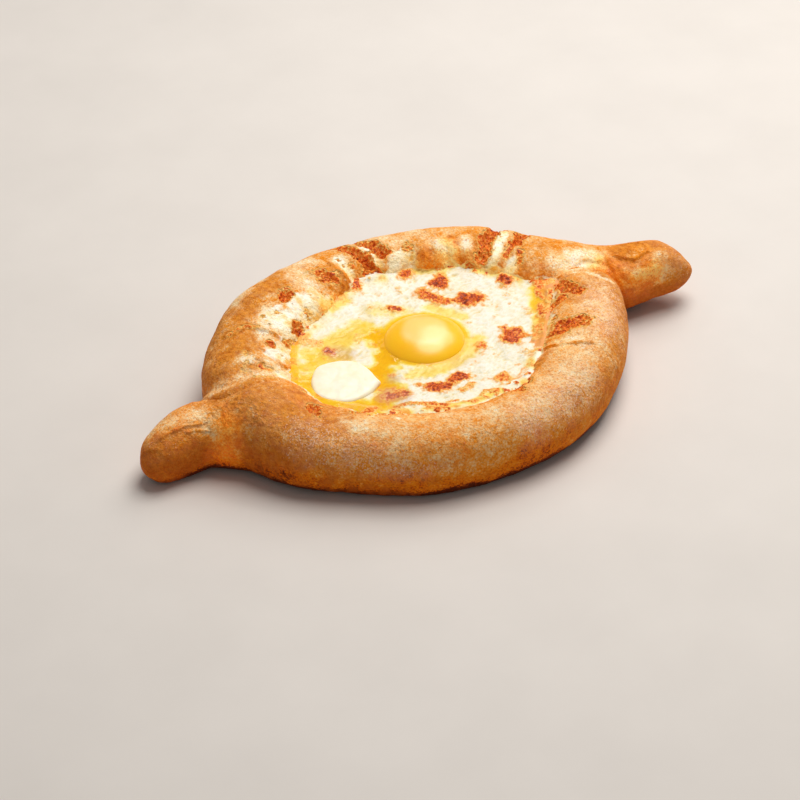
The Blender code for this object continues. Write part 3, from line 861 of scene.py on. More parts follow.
def film_cover(points):
    """How much of the crust's inner slope melted cheese covers, and butter above it."""
    from_middle = points[..., :2] - MIDDLE_SHIFT
    radius = np.linalg.norm(from_middle, axis=-1)
    crest = crest_radius(np.arctan2(from_middle[..., 1], from_middle[..., 0]))
    inner = ease((crest - 1.5 - radius) / 3)
    reach = 5.2 + 3.4 * clouds(points, 13, 22) + 2.2 * clouds(points, 5, 23)
    reach += 1.0 * clouds(points, 2.2, 24)
    above = points[..., 2] - FILL_LEVEL
    return inner * ease((reach - above) / 2.2), inner * ease((2 * reach - above) / 5)


def dough(skin, swell, pale, seed):
    """A roll's points with all their relief, and its masks."""
    normals = outward(skin)
    rows, columns = np.indices(skin.shape[:2])
    unrolled = np.stack([rows * 0.13, columns * 0.33, rows * 0], -1)
    unrolled = unrolled + 0.8 * clouds(skin, 7, 26)[..., None]
    masks = {"blister": marked(skin, normals, BLISTERS, ragged=0.42, soft=0.6)}
    wider = [(radius * 1.5, min(1, 0.15 + strength), *line) for radius, strength, *line in BLISTERS]
    masks["halo"] = marked(skin, normals, wider, soft=0.7)
    masks["pale"] = marked(skin, normals, pale, soft=0.7)
    masks["golden"] = marked(skin, normals, GOLDEN, soft=0.8)
    masks["floured"] = marked(skin, normals, FLOURED, ragged=0.25, soft=0.8)
    masks["floured"] *= ease((skin[..., 2] - 11) / 10)
    film, butter = film_cover(skin)
    masks["cheesy"] = np.maximum(marked(skin, normals, CHEESY, soft=0.7), 0.4 * butter)
    masks["film"] = np.maximum(film, marked(skin, normals, FILMED, soft=0.6))
    masks["crease"], masks["lip"] = creased(skin, normals, CREASES)
    wrinkled = marked(skin, normals, WRINKLED, soft=0.8)
    wrinkle = wrinkled * (0.6 - 1.6 * np.abs(clouds(unrolled, 1.0, 25)))
    # Darker towards the table: partly deeper browning of the lower sides, partly painted shade.
    masks["low"] = np.clip((34 - skin[..., 2]) / 34, 0, 1)
    # Darkest where the bread meets the table: painted shadow of its contact with the table.
    masks["foot"] = ease((9 - skin[..., 2]) / 8)
    specks = flecks(skin) * masks["film"] * 0.55
    masks["blister"] = np.maximum(masks["blister"], specks)
    masks["bubble"] = np.clip(2.4 * np.abs(clouds(skin, 1.9, seed + 7)), 0, 1)
    out = 0.75 * rough_clouds(skin, 34, seed) + 0.46 * clouds(skin, 15, seed + 3)
    out += 0.24 * clouds(skin, 6.5, seed + 4) + 0.12 * rough_clouds(skin, 3, seed + 5) - 0.5
    out += swell + masks["blister"] ** 3 * (0.5 + 1.0 * masks["bubble"])
    out += masks["film"] * (0.25 + 0.35 * masks["bubble"]) + 0.5 * wrinkle
    out += 0.9 * masks["lip"] - 1.0 * masks["crease"]
    out -= 1.9 * marked(skin, normals, HOLLOWS, ragged=0.15, soft=0.9)
    return skin + normals * out[..., None], masks


near_dough, near_masks = dough(near_skin, near_swell, PALE_NEAR, 3)
far_dough, far_masks = dough(far_skin, far_swell, PALE_FAR, 60)
print("relief of the near roll:", round(float(np.abs(near_dough - near_skin).max()), 1), "mm at most")


# %% The crust's meshes
def fitted(rolls):
    """Rolls pressed flat on the table and fitted to the solid crust's box."""
    everything = np.vstack([roll.reshape(-1, 3) for roll in rolls])
    low, high = everything.min(axis=0), everything.max(axis=0)
    box_low, box_high = np.array(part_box("crust")) * 1000
    low[2] = box_low[2] = 0
    made = [box_low + (roll - low) / (high - low) * (box_high - box_low) for roll in rolls]
    for roll in made:
        roll[..., 2] = np.maximum(roll[..., 2], 0)
    return made


near_dough, far_dough = fitted([near_dough, far_dough])
near_roll = mesh_object("crust_near_roll", near_dough, near_masks)
far_roll = mesh_object("crust_far_roll", far_dough, far_masks)
for roll in (near_roll, far_roll):
    print(roll.name, "has", len(roll.data.polygons), "faces")

# %% [markdown]
# ## The floor of the boat
#
# Below the filling the dough stays a thin sheet, a little above the table and browned by the stone
# of the oven. Only its underside can ever be seen, so it is a plain disc whose edge is lost inside
# the rolls.


# %% The floor of the boat
def disc(count):
    """The angles and radii, 0 to 1, of a square grid drawn into a round one."""
    u, v = np.meshgrid(np.linspace(-1, 1, count), np.linspace(-1, 1, count), indexing="ij")
    x, y = u * np.sqrt(1 - v**2 / 2), v * np.sqrt(1 - u**2 / 2)
    return np.arctan2(y, x), np.hypot(x, y)


def disc_object(name, top, bottom_level, masks, skirt=1.0):
    """A closed mesh from a disc's points: the top, a wall round its edge and a flat underside."""
    count = len(top)
    index = np.arange(count * count).reshape(count, count)
    faces = np.stack([index[:-1, :-1], index[1:, :-1], index[1:, 1:], index[:-1, 1:]], -1)
    border = [index[:-1, 0], index[-1, :-1], index[:0:-1, -1], index[0, :0:-1]]
    border = np.concatenate(border)
    points = top.reshape(-1, 3)
    middle = points.mean(axis=0) * [1, 1, 0] + [0, 0, bottom_level]
    lower = points[border] * [1, 1, 0] + [0, 0, bottom_level]
    lower[:, :2] = middle[:2] + (lower[:, :2] - middle[:2]) * skirt
    under = count * count + np.arange(len(border))
    wall = np.stack([border, under, np.roll(under, -1), np.roll(border, -1)], -1)[:, ::-1]
    base = np.stack([under, np.full(len(under), under[-1] + 1), np.roll(under, -1)], -1)
    held = {}
    for label, values in masks.items():
        flat = values.reshape(-1)
        held[label] = np.concatenate([flat, flat[border], [0]])
    lists = [*faces.reshape(-1, 4).tolist(), *wall.tolist(), *base.tolist()]
    item = mesh_piece(name, np.vstack([points, lower, middle]), lists, held)
    made = item.data
    facing = bmesh.new()
    facing.from_mesh(made)
    bmesh.ops.recalc_face_normals(facing, faces=facing.faces)
    facing.to_mesh(made)
    facing.free()
    return item


FLOOR_GRID = 90
FLOOR_TOP, FLOOR_UNDER = 6.5, 0.4
angle, radius = disc(FLOOR_GRID)
base_top = np.zeros((FLOOR_GRID, FLOOR_GRID, 3))
reach = (crest_radius(angle) - 3) * radius
base_top[..., :2] = np.stack([np.cos(angle), np.sin(angle)], -1) * reach[..., None] + MIDDLE_SHIFT
base_top[..., 2] = FLOOR_TOP
base_masks = {"low": np.ones(angle.shape), "floured": np.full(angle.shape, 0.6)}
crust_base = disc_object("crust_base", base_top, FLOOR_UNDER, base_masks)
print("the floor is", round(float(reach.max()), 1), "mm out at its furthest")

# %% [markdown]
# ## The cheese
#
# Sulguni and feta melt into a white, slightly stringy mass. It draws up where it meets the crust,
# browns in blisters where it bubbled, and is hidden under melted butter round the yolk, where the
# surface is smooth because it is liquid. Its mesh is a square grid drawn into the well's outline,
# fine enough for the strings to be real relief. As on the crust, many of the marks' places given in
# tenths of a millimetre came out of another program.

# %% Marks on the cheese
POOL = (
    (6.5, 1.0, (-19, 14), (-18, 3), (-27, -5), (-37, -12)),
    (6.0, 1.0, (-37, -12), (-36, -26), (-46, -33), (-56, -32)),
    (7.0, 0.55, (-46, 19), (-34, 20), (-22, 22)),
    (7.0, 0.6, (-60, 10), (-54, 15), (-46, 8)),
    (8.0, 0.85, (-64, 0), (-66, -16), (-60, -28)),
    (3.6, 0.4, (16, 20), (24, 6)),
    (4.0, 0.45, (20, -14), (10, -21), (-8, -24), (-20, -20)),
)
CLEAR = (
    (3.4, 0.9, (-31.9, 5.6), (-33.4, -0.6)),
    (2.2, 0.8, (-60, 15)),
)
CHEESE_BLISTERS = (
    (4.8, 1.0, (29.7, 33.2)),
    (4.3, 0.8, (18.5, 29.5), (21.5, 24)),
    (3.0, 0.75, (21.5, 22), (29.5, 16.5)),
    (4.8, 1.0, (33.5, 15.5), (37.5, 13.4)),
    (2.4, 0.85, (-1.5, 30), (1.2, 26.6)),
    (2.4, 0.4, (-9, 35), (-4, 31)),
    (1.5, 0.4, (9, 37)),
    (1.5, 0.4, (10, 41)),
    (3.8, 0.9, (19.9, 47.6)),
    (3.8, 0.8, (-6.5, 52)),
    (4.2, 0.95, (57.8, 17)),
    (4.0, 0.3, (51.5, 7.7)),
    (3.2, 0.4, (53.1, -11.2)),
    (5.2, 0.9, (36, -19.5), (34.2, -23)),
    (2.4, 0.7, (39, -25), (43, -28)),
    (3.2, 0.45, (33, -36)),
    (3.3, 0.75, (19, -19.8)),
    (2.3, 0.4, (24, -0.7)),
    (1.5, 0.3, (26, -9)),
    (2.2, 0.75, (-23.3, -28.6)),
    (3.4, 0.9, (-19.5, -33.5), (-13, -37)),
    (3.6, 0.95, (-7.5, -34.5), (-2.5, -35)),
    (2.6, 0.55, (-8.4, -44), (-3, -42.5)),
    (4.6, 0.7, (12, -47.3)),
    (1.4, 0.6, (-3.9, -57.3), (-4.6, -53.3), (-0.4, -51.2), (4.2, -53.6), (0.6, -57.9)),
    (1.6, 0.6, (-42, -38.5), (-34, -41), (-29, -44)),
    (1.9, 0.7, (-27, -46), (-22, -51)),
    (1.6, 0.6, (-30, -48.5), (-24.8, -52.5)),
    (1.6, 0.6, (-45.3, -40.4), (-42.2, -43.2)),
    (1.5, 0.6, (-19.8, -48.6), (-15.5, -50.5)),
    (1.5, 0.6, (-15.2, -54.3), (-9.3, -56.1)),
    (2.4, 0.7, (-57, -36.4), (-51.5, -34.6)),
    (4.6, 0.85, (-39, -29), (-35, -30)),
    (1.8, 0.6, (-29.5, -16)),
    (3.2, 0.9, (-44.3, 15)),
    (3.0, 0.45, (-26.3, 20.1)),
    (3.0, 0.3, (-19, 9)),
    (3.0, 0.5, (-52, 27), (-46, 24)),
    (3.4, 0.6, (78, 10), (74, 3)),
    (2.4, 0.7, (71, 8), (69, 2)),
    (2.8, 0.6, (70, -5), (65, -11)),
    (3.0, 0.6, (60.6, -14.9), (56, -18)),
    (2.6, 0.6, (49.5, -23.4), (47, -28)),
    (2.4, 0.5, (42.8, -31.1)),
    (2.0, 0.5, (36, -38.8)),
    (1.8, 0.7, (65, 0), (64, -6)),
    (1.6, 0.7, (60, -10), (55, -17)),
)
SUNKEN = (
    (5.2, 0.8, (-42, 12.5), (-40, 10)),
    (5.5, 0.8, (-37, -33), (-40, -28)),
    (3.2, 0.8, (-31, -18.5)),
    (3.5, 0.35, (0, -25), (9, -24)),
)
YELLOW = (
    (3.4, 0.5, (-26, 44), (-18, 46)),
    (3.4, 0.5, (52, 31), (60, 22)),
    (3.4, 0.9, (66, 2), (62, -6), (57, -11)),
    (2.6, 0.6, (54, -17), (48, -25)),
    (4.0, 0.3, (-9, 33), (2, 24)),
    (3.4, 0.45, (24, 49), (38, 42)),
    (2.4, 0.5, (-30, -50), (-12, -56), (4, -56)),
)
TOASTED = (
    # Cheese that is golden without having blistered.
    (8.0, 1.2, (84, 12), (76, 8), (72, -2)),
    (6.0, 1.2, (71, -4), (65, -12), (58, -20), (50, -28), (44, -34)),
    (2.6, 0.7, (58, -12), (48, -27)),
    (2.2, 0.7, (40, -35), (30, -44), (18, -52)),
    (1.8, 0.7, (-62, -34), (-50, -38), (-40, -42)),
    (1.8, 0.7, (-32, -48), (-18, -52), (-6, -56)),
    (2.2, 0.5, (-60, 22), (-56, 27)),
)
print(len(CHEESE_BLISTERS), "blisters and", len(TOASTED), "toasted patches on the cheese")


# %% The cheese's masks
def flat_marks(points, marks, ragged=0.35, soft=0.5):
    """Marks on the level surface of the cheese, whose places need no height."""
    upright = np.zeros_like(points)
    upright[..., 2] = 1
    level = points * [1, 1, 0]
    lines = [(radius, s, *[(*place, 0) for place in line]) for radius, s, *line in marks]
    return marked(level, upright, lines, ragged, soft)


CHEESE_GRID = 312
YOLK_EDGE = 19.7
angle, radius = disc(CHEESE_GRID)
reach = (crest_radius(angle) - 2) * radius
cheese = np.zeros((CHEESE_GRID, CHEESE_GRID, 3))
turned = np.stack([np.cos(angle), np.sin(angle)], -1)
cheese[..., :2] = turned * reach[..., None] + MIDDLE_SHIFT
cheese[..., 2] = FILL_LEVEL + 1.2 * ease((radius - 0.35) / 0.45)
from_near = distance_to_roll(cheese, near_sections)
from_far = distance_to_roll(cheese, far_sections)
from_crust = np.minimum(from_near, from_far)
cheese_masks = {
    "blister": flat_marks(cheese, CHEESE_BLISTERS, ragged=0.4, soft=0.6),
    "pool": flat_marks(cheese, POOL, soft=0.6) * (1 - flat_marks(cheese, CLEAR, soft=0.6)),
    "sunken": flat_marks(cheese, SUNKEN, soft=0.8),
}
wider = [(r * 1.4, min(1, 0.15 + s), *line) for r, s, *line in CHEESE_BLISTERS]
stains = 0.6 * ease((rough_clouds(cheese, 8, 91) - 0.22) / 0.3)
cheese_masks["halo"] = np.maximum(flat_marks(cheese, (*wider, *TOASTED), soft=0.7), stains)
yolk_gap = np.linalg.norm(cheese[..., :2] - yolk_box.mean(axis=0)[:2], axis=-1) - YOLK_EDGE
around_yolk = 2.8 + 1.4 * clouds(cheese, 14, 79)
cheese_masks["ring"] = np.exp(-(np.clip(yolk_gap, 0, None) / around_yolk) ** 2)
edge = np.exp(-(np.clip(from_crust, 0, None) / 3.4) ** 2)
patchy = ease(0.3 + 1.2 * clouds(cheese, 9, 80))
cheese_masks["halo"] = np.maximum(cheese_masks["halo"], 0.8 * edge * patchy)
rim = np.exp(-(np.clip(from_crust + 0.4, 0, None) / 1.7) ** 2)
cheese_masks["yellow"] = np.maximum(0.45 * edge * patchy, flat_marks(cheese, YELLOW, soft=0.8))
pooling = ease(1.5 * clouds(cheese, 17, 78) - (cheese[..., 0] + 30) / 40)
cheese_masks["yellow"] = np.maximum(cheese_masks["yellow"], 0.85 * rim * pooling)
cheese_masks["liquid"] = np.maximum(cheese_masks["pool"], cheese_masks["ring"])
browned_edge = flecks(cheese) * edge * (1 - 0.7 * cheese_masks["liquid"])
cheese_masks["blister"] = np.maximum(cheese_masks["blister"], 0.85 * browned_edge)
print("masks on the cheese so far:", sorted(cheese_masks))

# %% The cheese's relief
CHEESE_UNDER = 7.5
climb = np.where(from_near < from_far, 2.0, 1.5) + 0.9 * clouds(cheese, 12, 81)
rise = climb * np.exp(-np.clip(from_crust, 0, None) / 3.2)
drawn = cheese * [1, 1.5, 1]
strings = 1 - 2 * np.abs(clouds(drawn + 1.5 * clouds(cheese, 9, 83)[..., None], 3.4, 84))
fine = 1 - 2 * np.abs(clouds(drawn, 1.5, 85))
lumps = 0.5 * clouds(cheese, 13, 86) + 0.4 * clouds(cheese, 6, 87)
solid = (1 - 0.88 * cheese_masks["liquid"]) * (1 - 0.6 * edge)
relief = solid * (lumps + 0.26 * strings + 0.08 * fine)
# Creamier and darker in the hollows between strings and lumps: partly the cheese's own colour, partly
# painted shade.
cheese_masks["curd_and_shade"] = np.clip(0.5 + 0.3 * strings + 0.25 * fine + 0.3 * lumps, 0, 1)
cheese_masks["bubble"] = np.clip(2.4 * np.abs(clouds(cheese, 1.9, 88)), 0, 1)
raised = 0.3 + 0.7 * cheese_masks["bubble"]
relief += cheese_masks["blister"] * raised * (1 - 0.7 * cheese_masks["pool"])
relief -= 0.35 * cheese_masks["pool"]
lapping = 0.7 * np.exp(-(np.clip(yolk_gap + 1, 0, None) / 2.6) ** 2)
under_yolk = ease(-(yolk_gap + 2.2) / 2)
cheese[..., 2] += rise + relief + lapping - 3.7 * under_yolk
cheese_piece = disc_object("cheese_filling", cheese, CHEESE_UNDER, cheese_masks, skirt=0.97)
print("the cheese is", round(float(cheese[..., 2].max()), 1), "mm high at its highest")

# %% [markdown]
# ## The yolk
#
# The yolk goes on raw as the bread leaves the oven and sets no more than a skin, so it is a low,
# taut dome with a soft edge where the skin meets the cheese. A turned profile gives that: steep at
# its rim, nearly flat on top, with a very slight slump that keeps it from looking machined.


# %% The yolk
def dome_object(name, middle, radius, heights, rings=90, spokes=220):
    """A closed round piece: a radius that changes with the angle, and a height for each place."""
    share = np.sin(np.linspace(0.5 / rings, 1, rings) * np.pi / 2)
    turn = np.arange(spokes) / spokes * 2 * np.pi
    share, turn = np.meshgrid(share, turn, indexing="ij")
    reach = radius(turn) * share
    x, y = middle[0] + reach * np.cos(turn), middle[1] + reach * np.sin(turn)
    top = np.stack([x, y, heights(x, y, share, turn, 1)], -1)
    under = np.stack([x, y, heights(x, y, share, turn, -1)], -1)
    grid = np.vstack([top, under[::-1]])
    # A paler middle, used by the yolk: partly a clouding skin, partly a painted highlight.
    cloud_and_highlight = np.where(share < 0.8, ease((0.8 - share) / 0.5), 0)
    return mesh_object(name, grid, {"film": np.vstack([cloud_and_highlight, cloud_and_highlight[::-1] * 0])})


YOLK_RADIUS = 19.6
YOLK_RIM_HEIGHT, YOLK_RISE, YOLK_DEPTH = 26.1, 7.75, 7.5


def yolk_height(x, y, share, turn, side):
    """A low dome above the rim and a rounder bowl, lost in the cheese, below it."""
    inside = np.clip(1 - share**2, 0, 1)
    place = np.stack([x, y, x * 0], -1)
    slump = 0.3 * clouds(place, 15, 90) * inside
    dome, bowl = YOLK_RISE * inside**0.66 + slump, -YOLK_DEPTH * np.sqrt(inside)
    return YOLK_RIM_HEIGHT + np.where(side > 0, dome, bowl)


yolk_middle = yolk_box.mean(axis=0)
yolk_piece = dome_object(
    "egg_yolk",
    yolk_middle,
    lambda turn: YOLK_RADIUS + 0.16 * np.sin(2 * turn + 0.7) + 0.08 * np.sin(5 * turn),
    yolk_height,
)
print("yolk:", len(yolk_piece.data.polygons), "faces")

# %% [markdown]
# ## The butter
#
# A curl of cold butter was laid on last. It has begun to melt, so its corner and edges have gone
# round, while its top still shows the flats that the knife left.


# %% The butter
BUTTER_MIDDLE = np.array([-51.5, -3.0]) + MIDDLE_SHIFT
BUTTER_RADIUS = 15.0
BUTTER_TOP, BUTTER_UNDER = 29.4, 26.6
BUTTER_TURN = math.radians(-33)


def butter_reach(turn):
    """The curl's outline: rounded, a little longer one way, with one soft corner."""
    from_corner = (turn - BUTTER_TURN + np.pi) % (2 * np.pi) - np.pi
    corner = 5.5 * np.exp(-np.abs(from_corner) / 0.42)
    flats = 0.35 * np.sin(4 * turn + 0.4) + 0.2 * np.sin(7 * turn + 2)
    longer = 1.1 * np.cos(2 * (turn - BUTTER_TURN - np.pi / 2))
    return BUTTER_RADIUS + corner + flats + longer


def butter_height(x, y, share, turn, side):
    """Flats left by the knife on top, a narrow rounded edge, and a base sunk into the pool."""
    edge = np.clip(1 - share**16, 0, 1) ** 0.5
    cuts = np.stack([x - y * 0.6, y + x * 0.3, x * 0], -1)
    flats = 0.45 * clouds(cuts, 8, 95) + 0.12 * clouds(cuts, 3.2, 96)
    top = BUTTER_TOP - 1.8 * (1 - edge) + flats * edge - 0.5 * share**2
    return np.where(side > 0, top, BUTTER_UNDER - 0.8 * edge)


butter_piece = dome_object("butter_pat", BUTTER_MIDDLE, butter_reach, butter_height)
print("butter:", len(butter_piece.data.polygons), "faces")

# %% [markdown]
# ## Finishes made once and placed where they are needed
#
# Three effects are node groups. The blistered brown of cheese that caught the heat turns up on crust
# and cheese alike. Specks are laid three times on the crust: as flour, as pale bubbles and as scorched
# dust. The yellow of melted butter, deeper where the butter is deeper, soaks the cheese. The masks
# painted on the meshes are soft, and fine unevenness in the finishes makes most of them ragged.


# %% Specks
specks, into, out = group("Specks", {"Size": 1.0, "Cover": 0.5}, {"Mask": "Float"})
scale = sums(specks, "DIVIDE", 1 / MM, into.outputs["Size"])
place = put(specks, "TexCoord").outputs["Object"]
noise = put(specks, "TexNoise", {"Vector": place, "Scale": scale, "Detail": 1.5})
level = more(specks, 0.74, into.outputs["Cover"], -0.36)
above = sums(specks, "SUBTRACT", noise.outputs["Fac"], level)
fill(specks, out, {"Mask": between(specks, above, 0, 0.07)})
print("node group", specks.name)

# %% Melted butter
melted, into, out = group("Melted butter", {"Colour": WHITE, "Depth": 0.0}, {"Colour": "Color"})
BUTTER_TINTS = (
    (0, WHITE),
    (0.35, chart(255, 238, 150)),
    (0.7, chart(255, 214, 50)),
    (1.0, chart(252, 192, 4)),
)
tint = ramp(melted, into.outputs["Depth"], BUTTER_TINTS)
fill(melted, out, {"Colour": stained(melted, 1.0, into.outputs["Colour"], tint)})
print("node group", melted.name)

# %% Browned cheese
browning, into, out = group(
    "Browned cheese",
    {"Colour": WHITE, "Blister": 0.0, "Halo": 0.0, "Bubble": 0.5},
    {"Colour": "Color", "Brown": "Float", "Height": "Float"},
)
ragged = sums(browning, "SUBTRACT", grain(browning, 2.2, 4, 0.65), 0.5)
halo = between(browning, more(browning, into.outputs["Halo"], ragged, 1.3), 0.35, 0.9)
GOLD = ((0, chart(255, 228, 160)), (0.5, chart(253, 188, 88)), (1, chart(238, 146, 42)))
gold = ramp(browning, halo, GOLD)
under = mixed(browning, sums(browning, "MULTIPLY", halo, 0.85), into.outputs["Colour"], gold)
inside = more(browning, into.outputs["Blister"], ragged, 0.7)
brown = between(browning, inside, 0.32, 0.52)
fine = uneven(browning, 1.1, 2)
tone = between(browning, inside, 0.36, 1.0, 0.08, 0.94)
# Lighter on the tops of the bubbles and darker between them: painted light and shade that follow the
# relief.
tone = more(browning, tone, into.outputs["Bubble"], -0.36)
tone = more(browning, tone, fine, 0.16)
tone = more(browning, tone, uneven(browning, 3.4), 0.16)
BURNT = (
    (0.0, chart(254, 200, 110)),
    (0.2, chart(246, 160, 64)),
    (0.42, chart(242, 126, 38)),
    (0.68, chart(208, 78, 16)),
    (1.0, chart(118, 28, 4)),
)
over = mixed(browning, brown, under, ramp(browning, tone, BURNT))
bubbly = more(browning, into.outputs["Bubble"], fine, 0.25)
height = sums(browning, "MULTIPLY", brown, bubbly)
fill(browning, out, {"Colour": over, "Brown": brown, "Height": height})
print("node group", browning.name)


def browning_marks(tree):
    """The masks on a mesh that say where its cheese browned."""
    return {name: painted_on(tree, name.lower()) for name in ("Blister", "Halo", "Bubble")}


# %% [markdown]
# ## The crust's finish
#
# One scale of colours runs from raw-looking dough through gold to the deep brown reached at the foot,
# and most things that change how far the dough has baked just move a point along that scale. Painted
# shade moves along it too. Towards the table the colour darkens, partly as deeper browning of the
# lower sides and partly as painted shade. The creases get painted shade, and the foot, darkest of
# all, gets a painted shadow where the bread meets the table. Toasted patches, flour and specks are
# mixed over it, and butter and cheese lie on top. Light passes some way into thin dough and cheese,
# which a weak glow of their own colour stands for.

# %% How far the crust has baked, with painted shade
crust_finish, tree, shader = material("crust")
low = painted_on(tree, "low")
# Darker towards the table: partly deeper browning, partly painted shade of the lower sides.
bake_and_shade = more(tree, 0.375, low, 0.44)
for size, amount in ((26, 0.1), (9, 0.14), (3.2, 0.09), (1.0, 0.17)):
    bake_and_shade = more(tree, bake_and_shade, uneven(tree, size), amount)
BAKING_AND_SHADE_MASKS = {
    "halo": 0.1,
    "golden": 0.1,
    "pale": -0.34,
    # Creases painted darker: painted shade in the grooves.
    "crease": 0.24,
    "lip": -0.1,
    # The foot: painted shadow where the bread meets the table.
    "foot": 0.55,
}
for name, amount in BAKING_AND_SHADE_MASKS.items():
    bake_and_shade = more(tree, bake_and_shade, painted_on(tree, name), amount)
BAKED_AND_SHADED = (
    (0.0, chart(255, 240, 212)),
    (0.12, chart(255, 222, 170)),
    (0.27, chart(255, 204, 142)),
    (0.38, chart(250, 184, 112)),
    (0.50, chart(246, 158, 54)),
    (0.60, chart(242, 140, 16)),
    (0.72, chart(242, 128, 2)),
    (0.86, chart(214, 96, 0)),
    (1.0, chart(100, 34, 4)),
)
colour = ramp(tree, bake_and_shade, BAKED_AND_SHADED)
unbaked = sums(tree, "SUBTRACT", 1.0, painted_on(tree, "pale"))
toasted = sums(tree, "MULTIPLY", painted_on(tree, "golden"), unbaked)
toasted = more(tree, toasted, uneven(tree, 8, 4), 0.5)
toasted = between(tree, toasted, 0.15, 1.0, 0, 0.85)
TOAST = ((0.36, chart(198, 102, 16)), (0.62, chart(244, 158, 56)))
# Toast turns redder and darker low down, with the same mix of deeper browning and painted shade.
toast = mixed(tree, low, ramp(tree, grain(tree, 2.4, 4, 0.65), TOAST), chart(196, 84, 10))
colour = mixed(tree, toasted, colour, toast)
print("stops on the scale of baking:", len(BAKED_AND_SHADED))

# %% Flour, bubbles and scorched dust
dusted = painted_on(tree, "floured")
bloom = sums(tree, "MULTIPLY", dusted, between(tree, grain(tree, 9, 3), 0.4, 0.65))
colour = mixed(tree, sums(tree, "MULTIPLY", bloom, 0.3), colour, chart(255, 216, 178))
flour_cover = sums(tree, "MULTIPLY", dusted, 0.66)
flour = placed(tree, specks, {"Size": 0.8, "Cover": flour_cover}).outputs["Mask"]
colour = mixed(tree, sums(tree, "MULTIPLY", flour, 0.5), colour, chart(255, 222, 196))
# Pale specks only on the upper parts, so the lower sides stay darker: partly painted shade.
lower = sums(tree, "MULTIPLY", low, 1.5)
high = put(tree, "Math", {0: 1.0, 1: lower}, operation="SUBTRACT", use_clamp=True).outputs[0]
high = sums(tree, "MULTIPLY", high, more(tree, 0.32, toasted, -0.25))
pale_specks = placed(tree, specks, {"Size": 0.9, "Cover": 0.44}).outputs["Mask"]
colour = mixed(tree, sums(tree, "MULTIPLY", pale_specks, high), colour, chart(255, 208, 146))
scorch = placed(tree, specks, {"Size": 1.2, "Cover": 0.42}).outputs["Mask"]
colour = mixed(tree, sums(tree, "MULTIPLY", scorch, 0.42), colour, chart(190, 84, 8))
print("nodes so far:", len(tree.nodes))

# %% Cheese and butter on the crust
CURDLED = ((0.34, chart(250, 192, 98)), (0.44, chart(255, 230, 180)), (0.56, chart(255, 249, 230)))
film = more(tree, painted_on(tree, "film"), uneven(tree, 3.4), 0.22)
film = between(tree, film, 0.3, 0.8, 0, 0.92)
colour = mixed(tree, film, colour, ramp(tree, grain(tree, 6, 4, 0.55), CURDLED))
colour = stained(tree, painted_on(tree, "cheesy"), colour, chart(255, 228, 150))
marks = browning_marks(tree)
marks["Halo"] = sums(tree, "MULTIPLY", marks["Halo"], sums(tree, "MAXIMUM", film, 0.8))
marks["Blister"] = sums(tree, "MINIMUM", marks["Blister"], 0.74)
browned = placed(tree, browning, {"Colour": colour, **marks}).outputs
wet = sums(tree, "MAXIMUM", painted_on(tree, "cheesy"), painted_on(tree, "film"))
thin = sums(tree, "MULTIPLY", painted_on(tree, "pale"), 0.6)
translucent = sums(tree, "MAXIMUM", sums(tree, "MAXIMUM", wet, thin), browned["Brown"])
shine = sums(tree, "MAXIMUM", wet, sums(tree, "MULTIPLY", browned["Brown"], 0.6))
skin = more(tree, grain(tree, 1.6, 3), grain(tree, 0.6, 2), 0.5)
skin = sums(tree, "ADD", skin, browned["Height"])
bump = put(tree, "Bump", {"Height": skin, "Strength": 1.0, "Distance": 0.9 * MM})
crust_look = {
    "Base Color": browned["Colour"],
    "Emission Color": mixed(tree, translucent, chart(0, 0, 0), browned["Colour"]),
    "Emission Strength": 0.16,
    "Roughness": more(tree, 0.72, shine, -0.3),
    "Coat Weight": sums(tree, "MULTIPLY", shine, 0.2),
    "Coat Roughness": 0.2,
    "Specular IOR Level": 0.1,
    "Subsurface Weight": 0.08,
    "Subsurface Radius": (1.0, 0.85, 0.7),
    "Subsurface Scale": 1.2 * MM,
    "Normal": bump.outputs["Normal"],
}
fill(tree, shader, crust_look)
for piece in (near_roll, far_roll, crust_base):
    piece.data.materials.append(crust_finish)
print("crust finish:", len(tree.nodes), "nodes")

# %% [markdown]
# ## The cheese's finish
#
# Melted cheese is white because light goes in, scatters and comes out again, so its shader lets some
# of it through. Butter soaks it yellow, blisters brown it, and where a blister lies under the butter
# it shows through as a dull reddish brown.

# %% The cheese's finish
cheese_finish, tree, shader = material("cheese")
# The curd colour follows the relief, creamier and darker in the hollows: partly its own colour, partly
# painted shade.
milky_and_shade = sums(tree, "MULTIPLY", painted_on(tree, "curd_and_shade"), 0.6)
milky_and_shade = more(tree, milky_and_shade, grain(tree, 5, 4, 0.65), 0.5)
CURD_AND_SHADE = (
    (0.32, chart(232, 208, 148)),
    (0.46, chart(241, 225, 182)),
    (0.6, chart(245, 235, 206)),
    (0.84, chart(252, 247, 232)),
)
curd_and_shade = ramp(tree, milky_and_shade, CURD_AND_SHADE)
depth = sums(tree, "MAXIMUM", painted_on(tree, "yellow"), painted_on(tree, "pool"))
depth = sums(tree, "MAXIMUM", depth, sums(tree, "MULTIPLY", painted_on(tree, "ring"), 0.85))
ragged = sums(tree, "SUBTRACT", grain(tree, 4, 4, 0.65), 0.5)
ragged = sums(tree, "MULTIPLY", ragged, between(tree, depth, 0.02, 0.3, 0, 0.5))
depth = put(tree, "Math", {0: depth, 1: ragged}, operation="ADD", use_clamp=True).outputs[0]
buttered = placed(tree, melted, {"Colour": curd_and_shade, "Depth": depth}).outputs["Colour"]
browned = placed(tree, browning, {"Colour": buttered, **browning_marks(tree)}).outputs
sunken = sums(tree, "MULTIPLY", painted_on(tree, "sunken"), 0.55)
wet = painted_on(tree, "liquid")
strands = sums(tree, "ADD", grain(tree, 1.2, 3, 0.6, (1, 1.6, 1)), browned["Height"])
